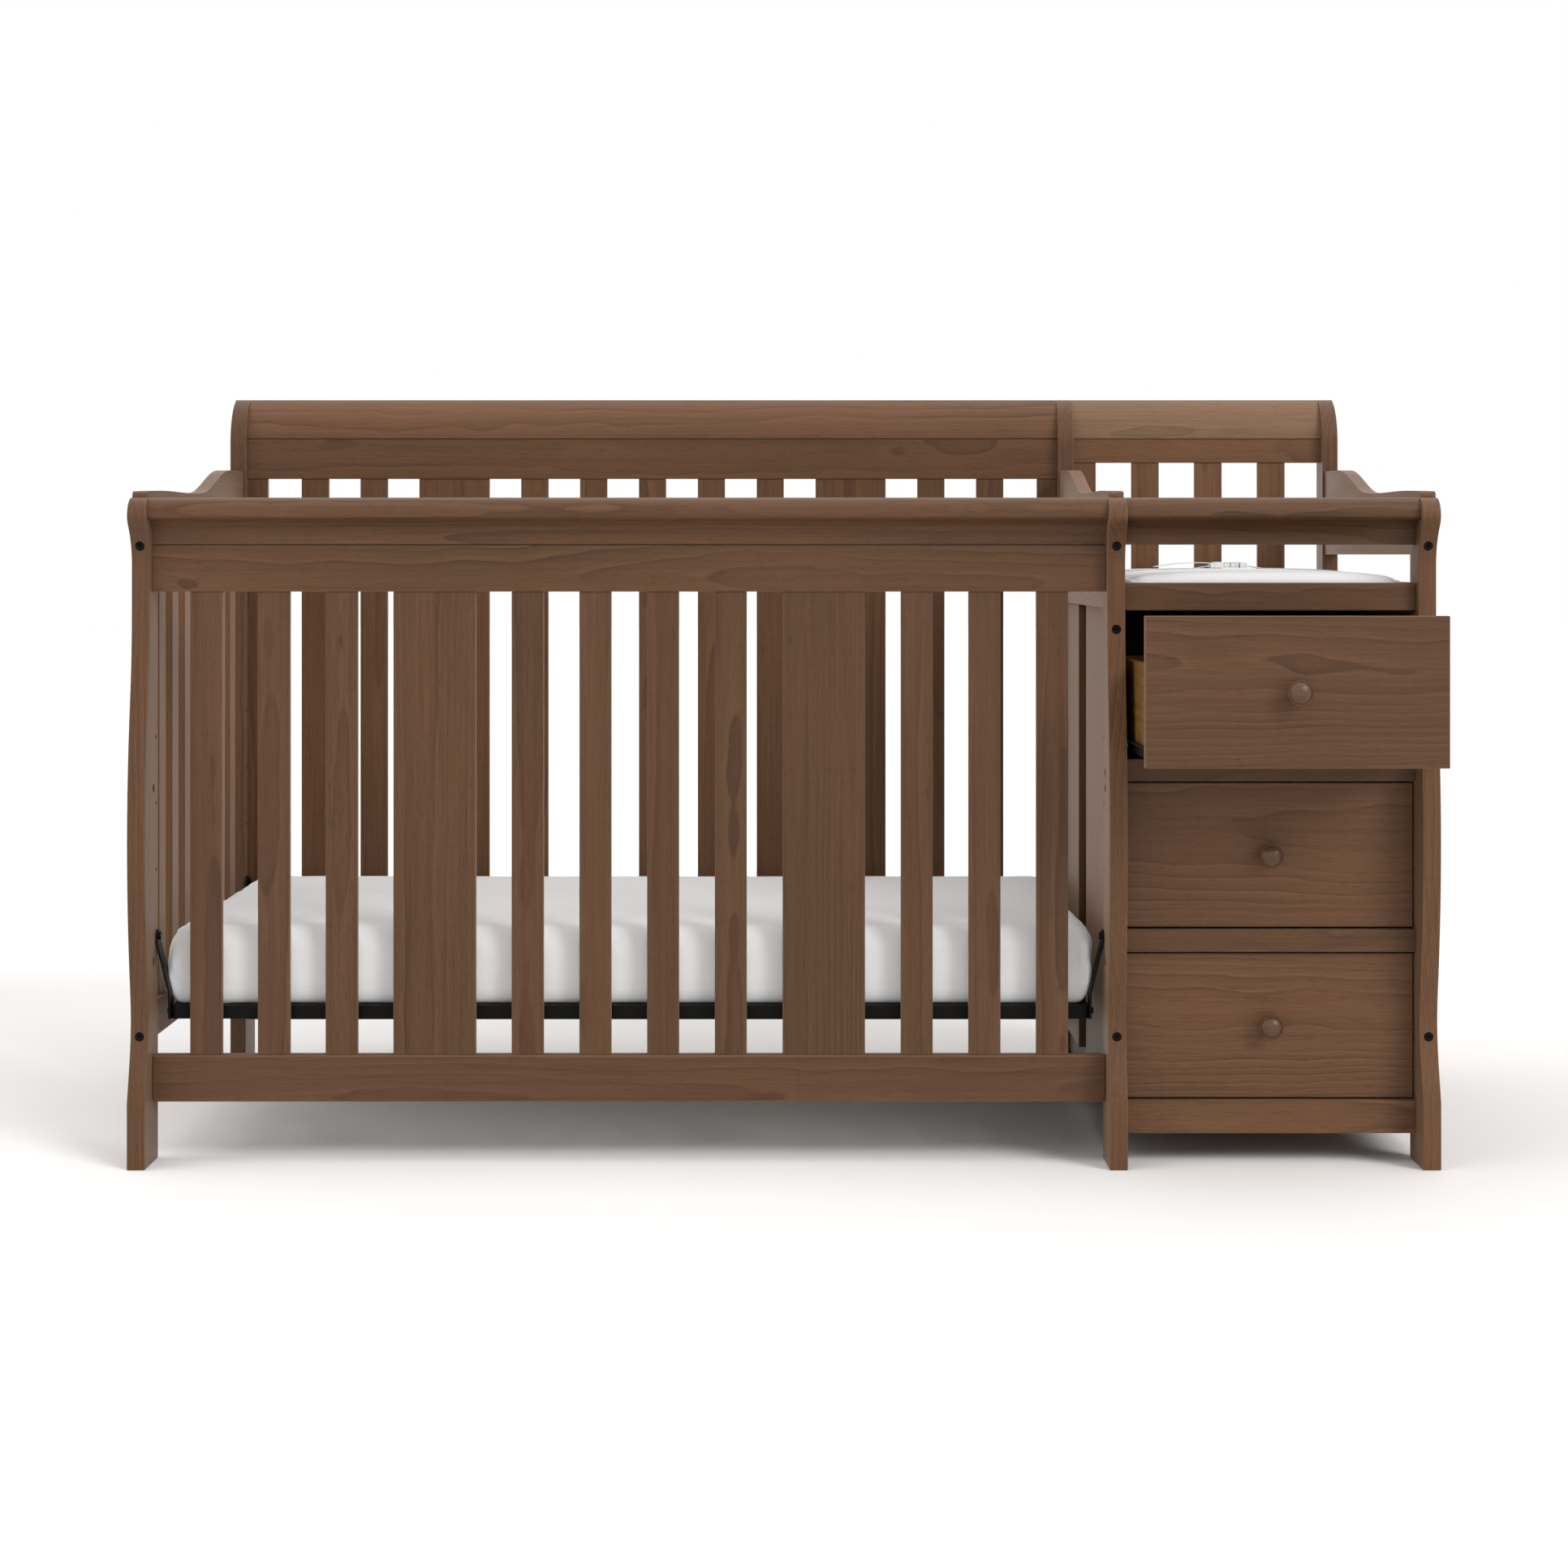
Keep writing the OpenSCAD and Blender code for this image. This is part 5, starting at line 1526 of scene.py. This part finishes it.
@dataclass
class SafetyStrap:
    """The webbing over the pad in two halves, the left one with a loose tail over it."""

    width: float = 0.026
    thickness: float = 0.0013
    lift: float = 0.0011
    side_gap: float = 0.0024
    step: float = 0.005
    rise: float = 0.03
    tail_length: float = 0.088
    tail_rise: float = 0.0038
    tail_gap: float = 0.0022
    tail_bow: float = 0.0016
    tail_bend: float = 1.6
    entry_height: float = 0.36
    entry_depth: float = 0.003
    foot_gap: float = 0.001
    shoulder_drop: float = 0.004
    climb_steps: int = 4
    above: float = 0.2
    rows: tuple[float, ...] = (-0.5, -0.44, -0.15, 0.15, 0.44, 0.5)
    finish: ClothFinish = STRAP_WEBBING

    def build(self, pad: Piece) -> None:
        """Lays both halves over the pad and fastens them in the buckle.

        Args:
            pad: The changing pad, whose surface the strap follows.
        """
        surface = BVHTree.FromObject(pad, bpy.context.evaluated_depsgraph_get())
        low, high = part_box("strap_buckle")
        buckle = Buckle().build()
        left = self.half(surface, -1, low.x + self.entry_depth)
        right = self.half(surface, 1, high.x - self.entry_depth)
        for name, route in (("left", left + self.tail(left)), ("right", right)):
            self.webbing(f"safety_strap_{name}", route)

    def half(self, surface: BVHTree, side: int, buckle_x: float) -> list[Vector]:
        """The route of one half, from the tray up the pad's side and over to the buckle.

        Args:
            surface: The pad's surface.
            side: -1 for the left half and 1 for the right.
            buckle_x: Where the half ends inside the buckle.

        Returns:
            The route's points.
        """
        buckle, buckle_half = middle_and_half("strap_buckle")
        entry_z = buckle.z + (2 * self.entry_height - 1) * buckle_half.z
        low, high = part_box("changing_pad")
        edge = low.x if side < 0 else high.x
        count = int(abs(edge - buckle_x) / self.step)
        top = []
        for i in range(1, count + 1):
            x = edge + (buckle_x - edge) * i / count
            above = Vector((x, buckle.y, high.z + self.above))
            hit = surface.ray_cast(above, Vector((0, 0, -1)))[0]
            if hit is None:
                continue
            near = slow_ends(max(0.0, 1.0 - abs(x - buckle_x) / self.rise))
            z = hit.z + self.lift
            top.append(Vector((x, buckle.y, z + (entry_z - z) * near)))
        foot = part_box("safety_strap")[0].z + self.foot_gap
        reach = top[0].z - self.shoulder_drop - foot
        outer = edge + side * self.side_gap
        climb = [
            Vector((outer, buckle.y, foot + reach * k / self.climb_steps))
            for k in range(self.climb_steps + 1)
        ]
        return climb + top

    def tail(self, left: list[Vector]) -> list[Vector]:
        """The loose end, which turns back out of the buckle and lies over the left half.

        Args:
            left: The left half's route.

        Returns:
            The route's points.
        """
        count = int(self.tail_length / self.step)
        start = left[-1]
        lying = left[self.climb_steps + 1:]
        route = []
        for i in range(count + 1):
            along = i / count
            x = start.x - self.tail_length * along
            rest = min(lying, key=lambda p: abs(p.x - x)).z + self.thickness + self.tail_gap
            level = start.z + self.tail_rise
            bow = math.sin(math.pi * along) * self.tail_bow
            z = level + (rest - level) * along ** self.tail_bend + bow
            route.append(Vector((x, start.y, z)))
        return route

    def webbing(self, name: str, route: list[Vector]) -> None:
        """Makes one length of webbing along its route.

        Args:
            name: The piece's name.
            route: The points that its middle follows.
        """
        shape = bmesh.new()
        across = [Vector((0, self.width * row, 0)) for row in self.rows]
        verts = [shape.verts.new(route[0] + aside) for aside in across]
        edges = [shape.edges.new(pair) for pair in zip(verts, verts[1:])]
        for here, there in zip(route, route[1:]):
            made = bmesh.ops.extrude_edge_only(shape, edges=edges)["geom"]
            verts = [g for g in made if isinstance(g, bmesh.types.BMVert)]
            fresh = set(verts)
            edges = [g for g in made if isinstance(g, Edge) and fresh.issuperset(g.verts)]
            bmesh.ops.translate(shape, verts=verts, vec=there - here)
        bmesh.ops.recalc_face_normals(shape, faces=shape.faces)
        piece = piece_from(shape, name)
        piece.data.shade_smooth()
        body = piece.modifiers.new("thickness", "SOLIDIFY")
        body.thickness = self.thickness
        body.offset = 0.0
        dress(piece, self.finish, ROOT_BODY, "safety_strap")


@dataclass
class Buckle:
    """A side-release buckle: a body with two arm windows, and the clip's end beyond a slit."""

    node: str = "strap_buckle"
    plate: float = 0.0014
    wall: float = 0.0022
    edge: float = 0.0006
    edge_share: float = 0.3
    window: Pair = (0.36, 0.70)
    slit: Pair = (0.762, 0.806)
    slit_depth: float = 0.009
    arm_gap: Pair = (0.53, 0.55)
    bar: Pair = (0.055, 0.11)
    end_height: float = 0.86
    core_inset: float = 0.003
    slit_foot: float = 0.0015
    slit_drop: float = 0.002
    arm_inset: Pair = (0.0003, 0.0035)
    arm_start: float = 0.006
    arm_room: float = 0.0002

    def build(self) -> Piece:
        """Builds the buckle from its moulded blocks.

        Returns:
            The piece.
        """
        shape = bmesh.new()
        for spans in self.blocks():
            self.block(shape, *spans)
        piece = piece_from(shape, f"{self.node}_moulded")
        smooth(piece)
        return dress(piece, BUCKLE_PLASTIC, ROOT_BODY, self.node)

    def blocks(self) -> list[tuple[Pair, Pair, Pair]]:
        """The blocks' spans along, across and up.

        Returns:
            For each block, shares of the length, and metres from the middle line and the foot.
        """
        half = middle_and_half(self.node)[1]
        side, top = half.y, half.z * 2
        inner = side - self.wall
        core, slit = inner - self.core_inset, side - self.slit_depth
        start, end = self.window
        full, whole, flat = (-side, side), (0.0, top), (0.0, top * self.end_height)
        between = (self.plate, top - self.plate)
        arm_span = (self.plate + self.arm_room, top - self.plate - self.arm_room)
        far_bar = (1.0 - self.bar[1], 1.0 - self.bar[0])
        found = [
            ((0.0, self.bar[0]), full, flat),
            ((self.bar[1], start), full, whole),
            ((end, self.slit[0]), full, whole),
            (self.window, full, (0.0, self.plate)),
            (self.window, full, (top - self.plate, top)),
            (self.window, (-core, core), between),
            (self.slit, (-slit, slit), (self.slit_foot, top - self.slit_drop)),
            ((self.slit[1], far_bar[0]), full, whole),
            ((far_bar[1], 1.0), full, flat),
        ]
        arms = ((start + self.arm_start, self.arm_gap[0]), (self.arm_gap[1], end - self.arm_start))
        for sign in (-1, 1):
            rail = tuple(sorted((sign * side, sign * inner)))
            arm = tuple(sorted(sign * (side - inset) for inset in self.arm_inset))
            found += [(bar, rail, flat) for bar in (self.bar, far_bar)]
            found += [(span, arm, arm_span) for span in arms]
        return found

    def block(self, shape: Shape, along: Pair, across: Pair, up: Pair) -> None:
        """Adds one block with eased edges.

        Args:
            shape: The bmesh.
            along: Its span as shares of the buckle's length.
            across: Its span in metres from the middle line.
            up: Its span in metres from the foot.
        """
        foot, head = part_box(self.node)
        middle = (foot.y + head.y) / 2
        low, high = (
            Vector((foot.x + x * (head.x - foot.x), middle + y, foot.z + z))
            for x, y, z in zip(along, across, up)
        )
        size = high - low
        place = Matrix.Translation((low + high) / 2) @ Matrix.Diagonal((*size, 1.0))
        verts = bmesh.ops.create_cube(shape, size=1.0, matrix=place)["verts"]
        edges = list({e for v in verts for e in v.link_edges})
        bevel(shape, edges, min(self.edge, min(size) * self.edge_share), 2)


# ---- Light and camera ----


@dataclass(frozen=True)
class Lamp:
    """A distant soft lamp: where it stands, how wide it looks and how strong it is."""

    name: str
    towards: Triple
    width: float
    strength: float

    def hang(self) -> None:
        """Adds the lamp, shining from its direction on the object."""
        data = bpy.data.lights.new(self.name, "SUN")
        data.angle = math.radians(self.width)
        data.energy = self.strength
        lamp = link(self.name, data)
        lamp.location = self.towards
        lamp.rotation_euler = Vector(self.towards).to_track_quat("Z", "Y").to_euler()


@dataclass
class Studio:
    """A white room with a soft lamp at the upper right and broader ones around."""

    sky: float = 0.25
    lamps: tuple[Lamp, ...] = (
        Lamp("right_lamp", (2.9, -3.1, 2.6), 26.0, 1.55),
        Lamp("overhead_lamp", (-0.2, 0.4, 5.0), 75.0, 1.5),
        Lamp("front_lamp", (1.2, -4.5, 1.3), 80.0, 0.66),
        Lamp("left_lamp", (-4.0, -1.5, 2.5), 60.0, 0.85),
    )
    floor_reach: float = 30.0
    floor_roughness: float = 0.9
    floor_grit: float = 30.0
    # The floor's warm tint is painted light: it stands in for light bounced from the wood into the
    # object's shadow.
    floor_pale: Triple = (0.97, 0.955, 0.94)
    floor_shaded: Triple = (0.96, 0.945, 0.93)

    def build(self) -> None:
        """Builds the world, the lamps and the floor."""
        self.world()
        for lamp in self.lamps:
            lamp.hang()
        self.floor()

    @staticmethod
    def seen_directly(tree: bpy.types.NodeTree) -> Socket:
        """1 for rays of the camera, of reflections and through glass, and 0 for others.

        Args:
            tree: The world's nodes.

        Returns:
            The socket that says so.
        """
        path = tree.nodes.new("ShaderNodeLightPath")
        total = path.outputs["Is Camera Ray"]
        for name in ("Is Glossy Ray", "Is Transmission Ray"):
            either = tree.nodes.new("ShaderNodeMath")
            either.operation = "MAXIMUM"
            tree.links.new(total, either.inputs[0])
            tree.links.new(path.outputs[name], either.inputs[1])
            total = either.outputs[0]
        return total

    def world(self) -> None:
        """A white surround that lights the object less than it shows."""
        world = bpy.data.worlds.new("white_room")
        bpy.context.scene.world = world
        world.use_nodes = True
        tree = world.node_tree
        background = tree.nodes["Background"]
        background.inputs["Color"].default_value = (1.0, 1.0, 1.0, 1.0)
        level = tree.nodes.new("ShaderNodeMapRange")
        level.inputs["To Min"].default_value = self.sky
        level.inputs["To Max"].default_value = 1.0
        tree.links.new(self.seen_directly(tree), level.inputs["Value"])
        tree.links.new(level.outputs[0], background.inputs["Strength"])

    def floor(self) -> None:
        """Lays a pale floor that keeps the object's shadow."""
        shape = bmesh.new()
        bmesh.ops.create_grid(shape, x_segments=1, y_segments=1, size=self.floor_reach)
        floor = piece_from(shape, "studio_floor")
        sketch = Shader("floor_paint", self.floor_roughness, 0.0)
        grit = sketch.noise(sketch.place(), (self.floor_grit,) * 3, 2.0)
        colour = sketch.mix(sketch.spread(grit, 0.0, 1.0), self.floor_pale, self.floor_shaded)
        sketch.feed(sketch.surface.inputs["Base Color"], colour)
        floor.data.materials.append(sketch.material)


@dataclass
class Viewpoint:
    """The camera: level, straight on, a little above the rails."""

    lens: float = 67.9
    sensor: float = 36.0
    height: float = 0.849
    distance: float = 4.3976
    image_width: int = 1932
    horizon_row: float = 683.2
    sight: float = 100.0

    def build(self) -> None:
        """Places the camera, with its horizon at the photograph's row."""
        data = bpy.data.cameras.new("front_camera")
        data.lens = self.lens
        data.sensor_width = self.sensor
        data.clip_end = self.sight
        data.shift_y = (self.horizon_row - self.image_width / 2) / self.image_width
        camera = link("front_camera", data)
        camera.location = (0.0, -self.distance, self.height)
        camera.rotation_euler = (math.pi / 2, 0.0, 0.0)
        bpy.context.scene.camera = camera


def main() -> None:
    """Builds the studio and dresses every piece."""
    logging.basicConfig(level=logging.INFO, format="%(name)s %(message)s")
    bpy.context.scene.view_settings.view_transform = "Standard"
    Viewpoint().build()
    Studio().build()
    for assembly in (Posts, FrontPanel, BackPanel, EndFrames, Chest, ChestInside, Hutch):
        assembly().build()
    # Painted light: the lower drawer fronts are made lighter for the stronger light low on the chest.
    for drawer in (Drawer("top"), Drawer("middle", tone_and_painted_light=1.17), Drawer("bottom", tone_and_painted_light=1.32)):
        drawer.build()
    Steelwork().build()
    Mattress().build()
    SafetyStrap().build(ChangingPad().build())


if __name__ == "__main__":
    main()
